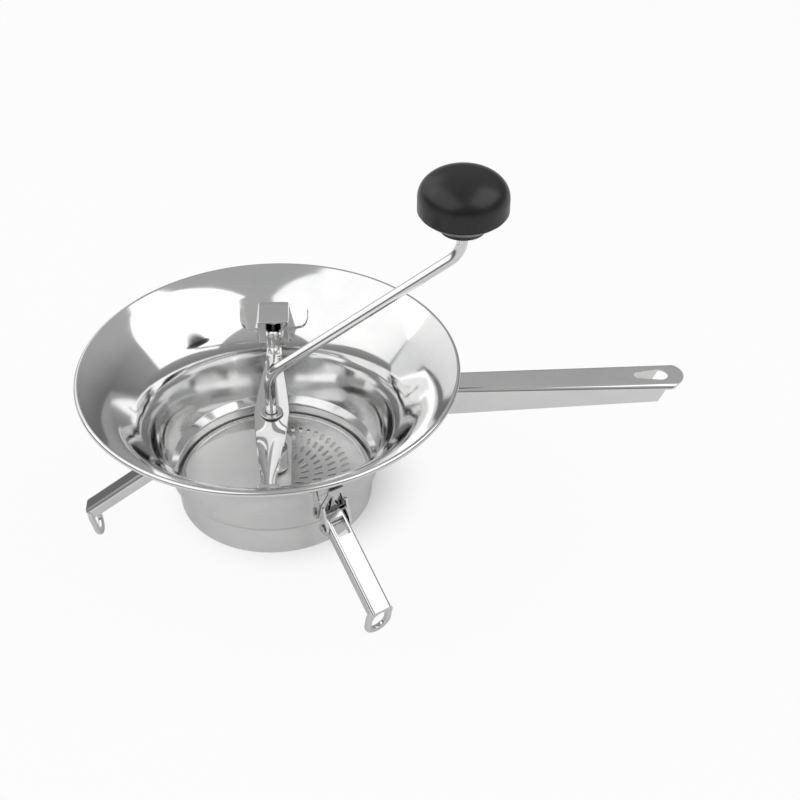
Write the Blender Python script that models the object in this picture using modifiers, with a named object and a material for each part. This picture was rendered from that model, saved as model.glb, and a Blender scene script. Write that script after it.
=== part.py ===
"""Hand cranked food mill with a folding tripod stand.

Lengths are in metres, +Z is up and +X runs along the handle. Every piece hangs from one empty on the bowl's
axis, level with the bottom of the bowl's base ring. That empty is placed last, so that the mill stands on
the plane z = 0 with the middle of its bounding box over the origin. Plans and profiles below are given from
the bowl's axis.
"""
import math

import bmesh
import bpy
from mathutils import Matrix, Vector

MM = 0.001

# Clearances, and how finely round shapes are cut
SEAT_GAP = 0.3 * MM
OVERRUN = 2.0 * MM
BOWL_STEPS = 48
ROUND_STEPS = 32
PIN_STEPS = 16
FILLET_STEPS = 3
ROD_RESOLUTION = 3
WIRE_RESOLUTION = 1
SHARP_ANGLE = 35.0
MERGE_LIMIT = 0.001 * MM

# Bowl: rolled rim, flare, waist, steep wall, shoulder, base ring and the lip that carries the disc
BOWL_SHEET = 1.0 * MM
RIM_RADIUS = 110.0 * MM
RIM_HEIGHT = 92.0 * MM
RIM_BEAD_RADIUS = 1.7 * MM
RIM_BEAD_STEPS = 6
FLARE_ANGLE = 31.0
FLARE_RUN = 39.0 * MM
WAIST_RADIUS = RIM_RADIUS - FLARE_RUN
WAIST_ROUNDING = 88.0 * MM
WAIST_STEPS = 8
WALL_TAPER = 8.4 * MM
SHOULDER_RADIUS = WAIST_RADIUS - WALL_TAPER
SHOULDER_HEIGHT = 23.0 * MM
SHOULDER_ROUNDING = 2.0 * MM
SHOULDER_WIDTH = 3.4 * MM
RING_TOP_RADIUS = SHOULDER_RADIUS - SHOULDER_WIDTH
RING_HEIGHT = 18.5 * MM
RING_TAPER = 1.2 * MM
RING_RADIUS = RING_TOP_RADIUS - RING_TAPER
LIP_WIDTH = 6.0 * MM
LIP_RADIUS = RING_RADIUS - LIP_WIDTH
LIP_HEIGHT = 10.7 * MM

# Handle: an inverted channel with a round end and a hanging hole
HANDLE_SHEET = 1.1 * MM
HANDLE_TOP = 77.9 * MM
HANDLE_LENGTH = 131.0 * MM
HANDLE_REACH = RIM_RADIUS + HANDLE_LENGTH
HANDLE_ROOT_WIDTH = 17.5 * MM
HANDLE_END_WIDTH = 22.0 * MM
HANDLE_ROOT_DEPTH = 19.4 * MM
HANDLE_END_DEPTH = 10.6 * MM
HANDLE_CORNER = 3.0 * MM
HANDLE_BARE_END = 20.0 * MM
HANDLE_FLANGE_REACH = HANDLE_REACH - HANDLE_BARE_END
HANDLE_FLANGE_SLANT = 8.0 * MM
HANDLE_HOLE_INSET = 9.0 * MM
HANDLE_HOLE_REACH = HANDLE_REACH - HANDLE_HOLE_INSET
HANDLE_HOLE_LENGTH = 20.0 * MM
HANDLE_HOLE_WIDTH = 10.0 * MM
HANDLE_HOLE_SMALL_WIDTH = 6.0 * MM

# Catches: hat-shaped brackets on the flare, with the holes that take the bar's tongues
CATCH_SHEET = 1.1 * MM
CATCH_STANDOFF = 5.0 * MM
CATCH_FACE_RADIUS = WAIST_RADIUS - CATCH_STANDOFF
CATCH_DEPTH = 32.0 * MM
CATCH_WIDTH = 19.4 * MM
CATCH_TOP = 76.6 * MM
CATCH_FACE_DROP = 16.6 * MM
CATCH_WING_WIDTH = 42.0 * MM
CATCH_WING_STEP = 4.5 * MM
CATCH_WING_START = WAIST_RADIUS + CATCH_WING_STEP
CATCH_WING_DEPTH = 10.0 * MM
CATCH_WING_ROUNDING = 4.0 * MM
CATCH_HOLE_WIDTH = 9.4 * MM
CATCH_HOLE_HEIGHT = 9.6 * MM
CATCH_HOLE_ROOF = 0.2 * MM
KEEPER_WIDTH = 12.6 * MM
KEEPER_FACE_DROP = 7.6 * MM
KEEPER_WING_WIDTH = 26.0 * MM
KEEPER_WING_STEP = 0.5 * MM
KEEPER_WING_START = WAIST_RADIUS + KEEPER_WING_STEP
KEEPER_WING_DEPTH = 6.0 * MM
KEEPER_WING_ROUNDING = 2.0 * MM
KEEPER_HOLE_WIDTH = 9.4 * MM
KEEPER_HOLE_HEIGHT = 4.9 * MM

# Cross bar: a spindle-shaped strip, hollowed along its length, with one end upturned
BAR_SHEET = 1.2 * MM
BAR_LEVEL = 56.8 * MM
BAR_END_GAP = 0.4 * MM
BAR_REACH = CATCH_FACE_RADIUS - BAR_SHEET - BAR_END_GAP
BAR_HALF_WIDTH = 10.1 * MM
BAR_NECK_HALF_WIDTH = 3.6 * MM
BAR_TAPER_POWER = 1.25
BAR_HOLLOW = 1.2 * MM
BAR_NECK_HOLLOW = 2.2 * MM
BAR_BEND = 4.5 * MM
BAR_CREST_BEND = 3.0 * MM
BAR_CREST_LEVEL = 69.4 * MM
BAR_TONGUE = 6.0 * MM
BAR_FRONT_TONGUE = 2.5 * MM
BAR_LENGTH_STEPS = 18
BAR_WIDTH_STEPS = 6
BAR_BEND_STEPS = 3

# Crank rod and the bush that it turns in
ROD_RADIUS = 3.1 * MM
ROD_CLEARANCE = 0.4 * MM
ROD_FOOT = 4.0 * MM
ROD_LOW_CORNER = 86.0 * MM
ROD_BEND = 16.0 * MM
ROD_BEND_STEPS = 6
CRANK_REACH = 109.1 * MM
ROD_HIGH_CORNER_DROP = 14.9 * MM
BUSH_NECK_RADIUS = 4.9 * MM
BUSH_FLANGE_RADIUS = 6.6 * MM
BUSH_FLANGE = 0.9 * MM

# Knob: a squat mushroom of two shells, kept on the rod by a clip
KNOB_RADIUS = 24.75 * MM
KNOB_NECK_RADIUS = 12.7 * MM
KNOB_FOOT = 179.6 * MM
KNOB_LIP = 1.7 * MM
KNOB_HIP_RADIUS = 21.1 * MM
KNOB_HIP = 8.0 * MM
KNOB_UNDERSIDE = 11.2 * MM
KNOB_SIDE = 7.4 * MM
KNOB_DOME = 15.6 * MM
KNOB_DOME_POWER = 2.2
KNOB_DOME_STEPS = 9
KNOB_WALL = 2.4 * MM
KNOB_SPIGOT = 2.4 * MM
KNOB_BOSS_RADIUS = 7.5 * MM
KNOB_BOSS = 4.4 * MM
CLIP_RADIUS = 6.0 * MM
CLIP_SHEET = 1.0 * MM
ROD_END_OVER_CLIP = 2.0 * MM

# Disc: a flat plate with a raised edge, rings of slanted slots and an eyelet
DISC_SHEET = 0.8 * MM
DISC_EDGE_CLEARANCE = 0.8 * MM
DISC_EDGE_WIDTH = 3.4 * MM
DISC_EDGE_RISE = 0.9 * MM
DISC_SLOT_LENGTH = 5.8 * MM
DISC_SLOT_WIDTH = 2.0 * MM
DISC_SLOT_SLANT = 24.0
DISC_SLOTS_INSET = 15.7 * MM
DISC_OUTER_SLOTS_RADIUS = RING_RADIUS - DISC_SLOTS_INSET
DISC_RING_PITCH = 8.2 * MM
DISC_SLOT_PITCH = 5.2 * MM
EYELET_NECK_RADIUS = 5.4 * MM
EYELET_RADIUS = 7.6 * MM
EYELET_FLANGE = 0.9 * MM

# Pressing blade, its hub, cross pin and spring
BLADE_SHEET = 1.4 * MM
BLADE_INSET = 4.0 * MM
BLADE_REACH = RING_RADIUS - BLADE_INSET
BLADE_LENGTH_SHARE = 0.657
BLADE_HALF_LENGTH = BLADE_REACH * BLADE_LENGTH_SHARE
BLADE_BACK = 9.5 * MM
BLADE_TILT = 4.0
BLADE_STEPS = 24
HUB_RADIUS = 8.0 * MM
HUB_HEIGHT = 13.0 * MM
HUB_PIN_RADIUS = 1.25 * MM
HUB_PIN_PROUD = 0.6 * MM
SPRING_SEAT_RADIUS = 8.2 * MM
SPRING_SEAT_SHEET = 1.2 * MM
SPRING_RADIUS = 5.6 * MM
SPRING_WIRE_RADIUS = 0.7 * MM
SPRING_CURLS = 5
SPRING_POINTS_PER_CURL = 10

# Legs: channels with round ears at the hinge and a slotted ring foot, in wall brackets
LEG_SHEET = 1.2 * MM
LEG_NAMES = ("front", "back", "left")
LEG_FIRST_AZIMUTH = -58.4
LEG_SLOPE = 36.6
LEG_SPAN = 56.2 * MM
LEG_WIDTH = 13.2 * MM
LEG_CORNER = 2.4 * MM
LEG_WEB_RISE = 4.9 * MM
LEG_FLANGE_DROP = 2.1 * MM
LEG_HEEL_ROUNDS = 8
LEG_EAR_RADIUS = 4.5 * MM
LEG_WINDOW_START = 3.2 * MM
LEG_WINDOW_END = 9.0 * MM
FOOT_SHEET = 3.0 * MM
FOOT_LEAN = 13.0
FOOT_LENGTH = 22.0 * MM
FOOT_WIDTH = 17.0 * MM
FOOT_SLOT_WIDTH = 9.4 * MM
FOOT_SLOT_LENGTH = 14.6 * MM
FOOT_FLAT = 0.4 * MM
HINGE_STANDOFF = 5.8 * MM
HINGE_RADIUS = SHOULDER_RADIUS + HINGE_STANDOFF
HINGE_HEIGHT = 22.0 * MM
HINGE_PIN_RADIUS = 1.5 * MM
HINGE_HEAD_RADIUS = 2.8 * MM
HINGE_HEAD = 1.1 * MM
BRACKET_SHEET = 1.3 * MM
BRACKET_TOP = 50.5 * MM
BRACKET_TAB_FOOT = 45.5 * MM
BRACKET_TAB_HALF_WIDTH = 4.8 * MM
BRACKET_ARM_FOOT = 37.5 * MM
BRACKET_ARM = 1.9 * MM
BRACKET_STRIP_HALF_WIDTH = 2.1 * MM
BRACKET_WINDOW_FOOT = 30.5 * MM
BRACKET_FOOT = 27.0 * MM
BRACKET_EAR_RADIUS = 4.6 * MM
BRACKET_INSET = 0.5 * MM
BRACKET_LOBE_START = 200.0
BRACKET_LOBE_END = 380.0


def clear_scene():
    """Remove every object that the open file holds."""
    for obj in list(bpy.data.objects):
        bpy.data.objects.remove(obj, do_unlink=True)


def new_collection(name):
    """Make a collection in the scene."""
    collection = bpy.data.collections.new(name)
    bpy.context.scene.collection.children.link(collection)
    return collection


clear_scene()
PARTS = new_collection("food_mill")
CUTTERS = new_collection("food_mill_cutters")


def new_material(name, color, metallic, roughness):
    """Make a plain Principled material."""
    material = bpy.data.materials.new(name)
    material.use_nodes = True
    shader = material.node_tree.nodes["Principled BSDF"]
    shader.inputs["Base Color"].default_value = (*color, 1.0)
    shader.inputs["Metallic"].default_value = metallic
    shader.inputs["Roughness"].default_value = roughness
    return material


def polished_steel(name):
    """Mirror-polished stainless steel."""
    return new_material(name, (0.78, 0.78, 0.77), 1.0, 0.08)


def brushed_steel(name):
    """Stainless steel with a satin surface."""
    return new_material(name, (0.62, 0.62, 0.61), 1.0, 0.3)


def spring_steel(name):
    """Drawn wire."""
    return new_material(name, (0.5, 0.5, 0.49), 1.0, 0.35)


def black_plastic(name):
    """Satin black moulding."""
    return new_material(name, (0.012, 0.012, 0.013), 0.0, 0.3)


def add_empty(name, parent=None, location=(0, 0, 0), turn=0.0):
    """Add an empty, turned about its Z axis by an angle in degrees."""
    empty = bpy.data.objects.new(name, None)
    empty.location = location
    empty.rotation_euler = (0, 0, math.radians(turn))
    empty.parent = parent
    PARTS.objects.link(empty)
    return empty


def add_part(name, mesh, material, parent, location=(0, 0, 0), rotation=(0, 0, 0)):
    """Put a mesh in the scene as a finished piece."""
    obj = bpy.data.objects.new(name, mesh)
    obj.location = location
    obj.rotation_euler = rotation
    obj.parent = parent
    if not mesh.materials:
        mesh.materials.append(material)
    PARTS.objects.link(obj)
    return obj


def add_cutter(name, mesh, parent=None, location=(0, 0, 0), rotation=(0, 0, 0)):
    """Put a mesh in the scene as a shape that only Booleans use."""
    obj = bpy.data.objects.new(name, mesh)
    obj.location = location
    obj.rotation_euler = rotation
    obj.parent = parent
    obj.hide_render = True
    obj.display_type = "WIRE"
    CUTTERS.objects.link(obj)
    return obj


def combine(obj, other, operation):
    """Add a Boolean of another object to an object."""
    modifier = obj.modifiers.new(other.name, "BOOLEAN")
    modifier.operation = operation
    modifier.object = other


def evaluated_mesh(obj):
    """Mesh of an object with its modifiers applied, in the object's own axes."""
    bpy.context.view_layer.update()
    evaluated = obj.evaluated_get(bpy.context.evaluated_depsgraph_get())
    return bpy.data.meshes.new_from_object(evaluated)


def settled_mesh(obj):
    """Apply an object's modifiers, remove it with the cutters that it used, and return its mesh."""
    mesh = evaluated_mesh(obj)
    for modifier in list(obj.modifiers):
        if modifier.type == "BOOLEAN":
            bpy.data.objects.remove(modifier.object, do_unlink=True)
    bpy.data.objects.remove(obj, do_unlink=True)
    shade_by_angle(mesh)
    return mesh


def shade_by_angle(mesh):
    """Shade a mesh smooth, with its real corners sharp."""
    mesh.shade_smooth()
    mesh.set_sharp_from_angle(angle=math.radians(SHARP_ANGLE))


def mesh_from_bmesh(name, bm):
    """Turn a bmesh into a mesh and free it."""
    mesh = bpy.data.meshes.new(name)
    bm.to_mesh(mesh)
    bm.free()
    return mesh


def arc(center, radius, start, end, steps):
    """Points on an arc between two angles in degrees."""
    points = []
    for step in range(steps + 1):
        angle = math.radians(start + (end - start) * step / steps)
        points.append((center[0] + radius * math.cos(angle), center[1] + radius * math.sin(angle)))
    return points


def circle(center, radius, steps):
    """Points once round a circle."""
    return arc(center, radius, 0, 360, steps)[:-1]


def rounded_line(points, radii, steps=FILLET_STEPS):
    """Line through the points with its inner corners rounded to the given radii."""
    line = [Vector(points[0])]
    for before, corner, after, radius in zip(points, points[1:], points[2:], radii):
        corner = Vector(corner)
        back = (Vector(before) - corner).normalized()
        ahead = (Vector(after) - corner).normalized()
        half_angle = back.angle(ahead) / 2
        reach = radius / math.tan(half_angle)
        center = corner + (back + ahead).normalized() * radius / math.sin(half_angle)
        first = corner + back * reach - center
        last = corner + ahead * reach - center
        sweep = first.angle(last)
        for step in range(steps + 1):
            share = step / steps
            mix = (first * math.sin((1 - share) * sweep) + last * math.sin(share * sweep)) / math.sin(sweep)
            line.append(center + mix)
    line.append(Vector(points[-1]))
    return line


def offset_line(points, distance):
    """Line beside an open line, to the left of its direction for a positive distance."""
    points = [Vector(point) for point in points]
    normals = []
    for start, end in zip(points, points[1:]):
        along = (end - start).normalized()
        normals.append(Vector((-along.y, along.x)))
    shifted = [points[0] + normals[0] * distance]
    for point, first, second in zip(points[1:], normals, normals[1:]):
        shifted.append(point + (first + second) * distance / (1 + first.dot(second)))
    shifted.append(points[-1] + normals[-1] * distance)
    return shifted


def profile_mesh(name, profile, closed):
    """Edges through the points of a profile in the XZ plane."""
    bm = bmesh.new()
    verts = [bm.verts.new((radius, 0, height)) for radius, height in profile]
    for first, second in zip(verts, verts[1:]):
        bm.edges.new((first, second))
    if closed:
        bm.edges.new((verts[-1], verts[0]))
    return mesh_from_bmesh(name, bm)


def spin_profile(obj, steps):
    """Turn an object's profile about its Z axis."""
    screw = obj.modifiers.new("turned", "SCREW")
    screw.steps = steps
    screw.render_steps = steps
    screw.use_smooth_shade = True
    screw.use_merge_vertices = True
    screw.merge_threshold = MERGE_LIMIT


def turned_part(name, profile, steps, material, parent, closed=True, location=(0, 0, 0), rotation=(0, 0, 0)):
    """Add a turned piece. Its profile runs down the outer side."""
    obj = add_part(name, profile_mesh(name, profile, closed), material, parent, location, rotation)
    spin_profile(obj, steps)
    return obj


def turned_cutter(name, profile, steps, parent=None, closed=True):
    """Add a turned cutter. Its profile runs down the outer side."""
    obj = add_cutter(name, profile_mesh(name, profile, closed), parent)
    spin_profile(obj, steps)
    return obj


def curve_mesh(name, curve):
    """Turn a curve into a closed mesh and remove the curve."""
    obj = bpy.data.objects.new(name, curve)
    CUTTERS.objects.link(obj)
    mesh = evaluated_mesh(obj)
    bpy.data.objects.remove(obj, do_unlink=True)
    bpy.data.curves.remove(curve)
    bm = bmesh.new()
    bm.from_mesh(mesh)
    bmesh.ops.remove_doubles(bm, verts=bm.verts, dist=MERGE_LIMIT)
    bmesh.ops.recalc_face_normals(bm, faces=bm.faces)
    bm.to_mesh(mesh)
    bm.free()
    mesh.name = name
    return mesh


def add_spline(curve, points, closed):
    """Add a straight-segment spline to a curve."""
    spline = curve.splines.new("POLY")
    spline.points.add(len(points) - 1)
    for spline_point, point in zip(spline.points, points):
        padded = (*point, 0, 0)[:3]
        spline_point.co = (*padded, 1)
    spline.use_cyclic_u = closed


def plate_mesh(name, outlines, thickness):
    """Flat plate in the XY plane, centred on it. The outlines after the first are its holes."""
    curve = bpy.data.curves.new(name, "CURVE")
    curve.dimensions = "2D"
    curve.fill_mode = "BOTH"
    curve.extrude = thickness / 2
    for outline in outlines:
        add_spline(curve, outline, True)
    mesh = curve_mesh(name, curve)
    shade_by_angle(mesh)
    return mesh


def tube_mesh(name, points, radius, resolution):
    """Round wire or rod along a line of points."""
    curve = bpy.data.curves.new(name, "CURVE")
    curve.dimensions = "3D"
    curve.bevel_depth = radius
    curve.bevel_resolution = resolution
    curve.use_fill_caps = True
    add_spline(curve, points, False)
    mesh = curve_mesh(name, curve)
    shade_by_angle(mesh)
    return mesh


def box_mesh(name, low, high):
    """Box between two corners."""
    bm = bmesh.new()
    bmesh.ops.create_cube(bm, size=1)
    for vert in bm.verts:
        for axis in range(3):
            vert.co[axis] = high[axis] if vert.co[axis] > 0 else low[axis]
    return mesh_from_bmesh(name, bm)


def rod_mesh(name, radius, length, steps):
    """Straight round bar along Z, centred on the origin."""
    bm = bmesh.new()
    bmesh.ops.create_cone(
        bm, cap_ends=True, segments=steps, radius1=radius, radius2=radius, depth=length)
    mesh = mesh_from_bmesh(name, bm)
    shade_by_angle(mesh)
    return mesh


def sheet_mesh(name, columns, rows, place):
    """Open sheet of faces, whose point in each column and row is given by a function."""
    bm = bmesh.new()
    bmesh.ops.create_grid(bm, x_segments=columns, y_segments=rows, size=1)
    for vert in bm.verts:
        column = round((vert.co.x + 1) / 2 * columns)
        row = round((vert.co.y + 1) / 2 * rows)
        vert.co = place(column, row)
    mesh = mesh_from_bmesh(name, bm)
    mesh.shade_smooth()
    return mesh


def thicken(obj, thickness):
    """Give a sheet its thickness, on the side away from its normals."""
    solidify = obj.modifiers.new("sheet", "SOLIDIFY")
    solidify.thickness = thickness
    solidify.offset = -1
    solidify.use_even_offset = True


def channel_section(half_width, depth, corner):
    """Half round-cornered channel section, open below, from its left foot over to its right foot."""
    left = arc((-half_width + corner, -corner), corner, 180, 90, FILLET_STEPS)
    right = arc((half_width - corner, -corner), corner, 90, 0, FILLET_STEPS)
    return [(-half_width, -depth), *left, *right, (half_width, -depth)]


def channel_mesh(name, ends, corner):
    """Channel along X between two ends, each given as x, top height, width and depth."""
    sections = [channel_section(width / 2, depth, corner) for _, _, width, depth in ends]

    def place(column, row):
        across, down = sections[column][row]
        return Vector((ends[column][0], across, ends[column][1] + down))

    return sheet_mesh(name, len(ends) - 1, len(sections[0]) - 1, place)


def ring_radius(height):
    """Outer radius of the bowl's base ring at a height."""
    return RING_RADIUS + (RING_TOP_RADIUS - RING_RADIUS) * height / RING_HEIGHT


def flare_directions():
    """Unit vectors up along the flare and square to it, towards the inside."""
    angle = math.radians(FLARE_ANGLE)
    return Vector((math.cos(angle), math.sin(angle))), Vector((-math.sin(angle), math.cos(angle)))


def rim_center():
    """Centre of the rolled rim's bead."""
    return Vector((RIM_RADIUS - RIM_BEAD_RADIUS, RIM_HEIGHT - RIM_BEAD_RADIUS))


def flare_underside_start():
    """Where the flare's underside leaves the rolled rim."""
    upslope, inward = flare_directions()
    rise = RIM_BEAD_RADIUS - BOWL_SHEET
    return rim_center() + inward * rise - upslope * math.sqrt(RIM_BEAD_RADIUS ** 2 - rise ** 2)


def flare_and_wall():
    """Outer side of the bowl from the rim's underside to the shoulder's corner."""
    start = flare_underside_start()
    waist_height = start.y - (start.x - WAIST_RADIUS) * math.tan(math.radians(FLARE_ANGLE))
    corners = [start, (WAIST_RADIUS, waist_height), (SHOULDER_RADIUS, SHOULDER_HEIGHT)]
    return rounded_line(corners, [WAIST_ROUNDING], WAIST_STEPS)


def outer_wall():
    """Outer side of the bowl from the rim's underside to the bottom of the base ring."""
    upper = flare_and_wall()
    corners = [upper[-2], upper[-1], (RING_TOP_RADIUS, RING_HEIGHT), (RING_RADIUS, 0)]
    lower = rounded_line(corners, [SHOULDER_ROUNDING, SHOULDER_ROUNDING])
    return [*upper[:-1], *lower[1:]]


def wall_radius(height):
    """Outer radius of the flare or the wall at a height."""
    line = flare_and_wall()
    for above, below in zip(line, line[1:]):
        if above.y >= height >= below.y:
            return below.x + (above.x - below.x) * (height - below.y) / (above.y - below.y)
    raise ValueError("the height is off the flare and the wall")


def bowl_profile():
    """Closed section of the bowl's sheet: rolled rim, outer side down, hem and lip, inner side up."""
    upslope, inward = flare_directions()
    inward_angle = math.degrees(math.atan2(inward.y, inward.x))
    cut_angle = math.degrees(math.acos((RIM_BEAD_RADIUS - BOWL_SHEET) / RIM_BEAD_RADIUS))
    bead = arc(rim_center(), RIM_BEAD_RADIUS, inward_angle, inward_angle + cut_angle - 360, RIM_BEAD_STEPS)
    outer = outer_wall()
    inner = offset_line(outer, -BOWL_SHEET)
    hem_radius = RING_RADIUS - 2 * BOWL_SHEET
    hem = [
        (hem_radius, 0),
        (hem_radius, LIP_HEIGHT - BOWL_SHEET),
        (LIP_RADIUS, LIP_HEIGHT - BOWL_SHEET),
        (LIP_RADIUS, LIP_HEIGHT),
        (ring_radius(LIP_HEIGHT) - BOWL_SHEET, LIP_HEIGHT),
    ]
    return [*bead, *outer[1:], *hem, *reversed(inner[1:-1])]


def build_bowl(frame):
    """Bowl, spun from one sheet."""
    turned_part("bowl", bowl_profile(), BOWL_STEPS, polished_steel("bowl"), frame)


def bowl_envelope(name, parent):
    """Solid that fills the bowl out to a seat gap beyond its outer side."""
    line = offset_line(outer_wall(), SEAT_GAP)
    upslope, _ = flare_directions()
    top = line[0] + upslope * RIM_BEAD_RADIUS
    profile = [(0, top.y), top, *line, (0, line[-1].y)]
    return turned_cutter(name, profile, BOWL_STEPS, parent, closed=False)


def inner_line(gap):
    """Inner side of the bowl's flare and wall, a gap further in, from the rim to the shoulder."""
    return offset_line(flare_and_wall(), -BOWL_SHEET - gap)


def handle_end(reach):
    """Place and section of the handle's channel at a distance from the bowl's axis."""
    share = (reach - WAIST_RADIUS) / (HANDLE_REACH - WAIST_RADIUS)
    width = HANDLE_ROOT_WIDTH + (HANDLE_END_WIDTH - HANDLE_ROOT_WIDTH) * share
    depth = HANDLE_ROOT_DEPTH + (HANDLE_END_DEPTH - HANDLE_ROOT_DEPTH) * share
    return reach, HANDLE_TOP, width, depth


def teardrop(far, length, wide, narrow):
    """Outline along X with a wide round end at the far side and a narrow one at the near side."""
    far_arc = arc((far - wide / 2, 0), wide / 2, -90, 90, 2 * FILLET_STEPS)
    near_arc = arc((far - length + narrow / 2, 0), narrow / 2, 90, 270, 2 * FILLET_STEPS)
    return [*far_arc, *near_arc]


def build_handle(frame):
    """Handle: a pressed channel, welded to the flare's underside and the wall."""
    start = WAIST_RADIUS - OVERRUN
    mesh = channel_mesh("handle", [handle_end(start), handle_end(HANDLE_REACH)], HANDLE_CORNER)
    handle = add_part("handle", mesh, polished_steel("handle"), frame)
    thicken(handle, HANDLE_SHEET)
    tip_radius = HANDLE_END_WIDTH / 2
    tip = arc((HANDLE_REACH - tip_radius, 0), tip_radius, -90, 90, 4 * FILLET_STEPS)
    wide = tip_radius + OVERRUN
    low_end = start - OVERRUN
    plan = [(low_end, -wide), (tip[0][0], -wide), *tip, (tip[-1][0], wide), (low_end, wide)]
    plan_height = 2 * (HANDLE_ROOT_DEPTH + OVERRUN)
    plan_cutter = add_cutter("handle_plan", plate_mesh("handle_plan", [plan], plan_height), frame)
    plan_cutter.location = (0, 0, HANDLE_TOP)
    combine(handle, plan_cutter, "INTERSECT")
    top = HANDLE_TOP + OVERRUN
    lip = HANDLE_TOP - HANDLE_CORNER
    deep = HANDLE_TOP - HANDLE_ROOT_DEPTH - OVERRUN
    past_tip = HANDLE_REACH + OVERRUN
    slant = HANDLE_FLANGE_REACH + HANDLE_FLANGE_SLANT
    side = [(low_end, top), (low_end, deep), (HANDLE_FLANGE_REACH, deep), (slant, lip), (past_tip, lip),
            (past_tip, top)]
    side_cutter = add_cutter("handle_side", plate_mesh("handle_side", [side], 2 * wide), frame)
    side_cutter.rotation_euler = (math.radians(90), 0, 0)
    combine(handle, side_cutter, "INTERSECT")
    hole = teardrop(HANDLE_HOLE_REACH, HANDLE_HOLE_LENGTH, HANDLE_HOLE_WIDTH, HANDLE_HOLE_SMALL_WIDTH)
    hole_cutter = add_cutter("handle_hole", plate_mesh("handle_hole", [hole], 2 * OVERRUN), frame)
    hole_cutter.location = (0, 0, HANDLE_TOP)
    combine(handle, hole_cutter, "DIFFERENCE")
    combine(handle, bowl_envelope("handle_bowl_envelope", frame), "DIFFERENCE")


def bowl_inside(name):
    """Solid that fills the flare and the wall from within, short of them by a seat gap."""
    line = inner_line(SEAT_GAP)
    profile = [(0, line[0].y), *line, (0, line[-1].y)]
    return turned_cutter(name, profile, BOWL_STEPS, closed=False)


def flare_patch(name):
    """Ring of sheet that lies on the inner side of the flare and the wall."""
    outer = inner_line(SEAT_GAP)
    inner = inner_line(SEAT_GAP + CATCH_SHEET)
    return turned_cutter(name, [*outer, *reversed(inner)], BOWL_STEPS)


def rounded_slot(width, top, height):
    """Outline of a slot with a flat top and a round-cornered bottom."""
    half = width / 2
    low = top - height
    radius = min(half, height)
    return [(half, top), *arc((half - radius, low + radius), radius, 0, -90, 2 * FILLET_STEPS),
            *arc((radius - half, low + radius), radius, -90, -180, 2 * FILLET_STEPS), (-half, top)]


def without_repeats(points):
    """Points of an outline, without those that repeat the one before."""
    kept = [Vector(points[0])]
    for point in points[1:]:
        if (Vector(point) - kept[-1]).length > MERGE_LIMIT:
            kept.append(Vector(point))
    return kept


def wing_plan(start, depth, width, rounding):
    """Plan outline of a pair of wings."""
    half = width / 2
    corners = [(start, 0), (start, half), (start + depth, half), (start + depth, 0)]
    side = rounded_line(corners, [rounding, rounding])[1:-1]
    mirrored = [(along, -across) for along, across in reversed(side)]
    return [*side, *mirrored]


def catch_mesh(width, top, drop, wings, slot):
    """Bracket on the +X side: a box with a holed face, and two wings on the flare."""
    half = width / 2
    far = CATCH_FACE_RADIUS + CATCH_DEPTH
    floor = top - drop
    shell = add_cutter("catch", box_mesh("catch", (CATCH_FACE_RADIUS, -half, floor), (far, half, top)))
    combine(shell, bowl_inside("catch_bowl_inside"), "INTERSECT")
    inner = half - CATCH_SHEET
    low = (CATCH_FACE_RADIUS + CATCH_SHEET, -inner, floor - OVERRUN)
    high = (far + OVERRUN, inner, top - CATCH_SHEET)
    combine(shell, add_cutter("catch_room", box_mesh("catch_room", low, high)), "DIFFERENCE")
    patch = flare_patch("catch_wings")
    prism = add_cutter("catch_wing_plan", plate_mesh("catch_wing_plan", [wings], 2 * RIM_HEIGHT))
    combine(patch, prism, "INTERSECT")
    combine(shell, add_cutter("catch_wing_pair", settled_mesh(patch)), "UNION")
    hole = plate_mesh("catch_hole", [without_repeats(slot)], 2 * (CATCH_SHEET + OVERRUN))
    turn = Matrix(((0, 0, 1), (1, 0, 0), (0, 1, 0))).to_euler()
    combine(shell, add_cutter("catch_hole", hole, None, (CATCH_FACE_RADIUS, 0, 0), turn), "DIFFERENCE")
    return settled_mesh(shell)


def build_catches(frame):
    """The catch behind the bowl's axis and the lower keeper in front of it."""
    material = polished_steel("catch")
    wings = wing_plan(CATCH_WING_START, CATCH_WING_DEPTH, CATCH_WING_WIDTH, CATCH_WING_ROUNDING)
    slot = rounded_slot(CATCH_HOLE_WIDTH, catch_hole_top(), CATCH_HOLE_HEIGHT)
    catch = catch_mesh(CATCH_WIDTH, CATCH_TOP, CATCH_FACE_DROP, wings, slot)
    add_part("bar_catch", catch, material, frame, rotation=(0, 0, math.radians(90)))
    wings = wing_plan(KEEPER_WING_START, KEEPER_WING_DEPTH, KEEPER_WING_WIDTH, KEEPER_WING_ROUNDING)
    slot = rounded_slot(KEEPER_HOLE_WIDTH, keeper_hole_top(), KEEPER_HOLE_HEIGHT)
    keeper = catch_mesh(KEEPER_WIDTH, keeper_hole_top() + CATCH_SHEET, KEEPER_FACE_DROP, wings, slot)
    add_part("bar_keeper", keeper, material, frame, rotation=(0, 0, math.radians(-90)))


def catch_hole_top():
    """Height of the flat top of the catch's hole."""
    return CATCH_TOP - CATCH_SHEET - CATCH_HOLE_ROOF


def keeper_hole_top():
    """Height of the flat top of the keeper's hole, just over the edges of the bar's hollow."""
    return BAR_LEVEL + BAR_NECK_HOLLOW + SEAT_GAP


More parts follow.
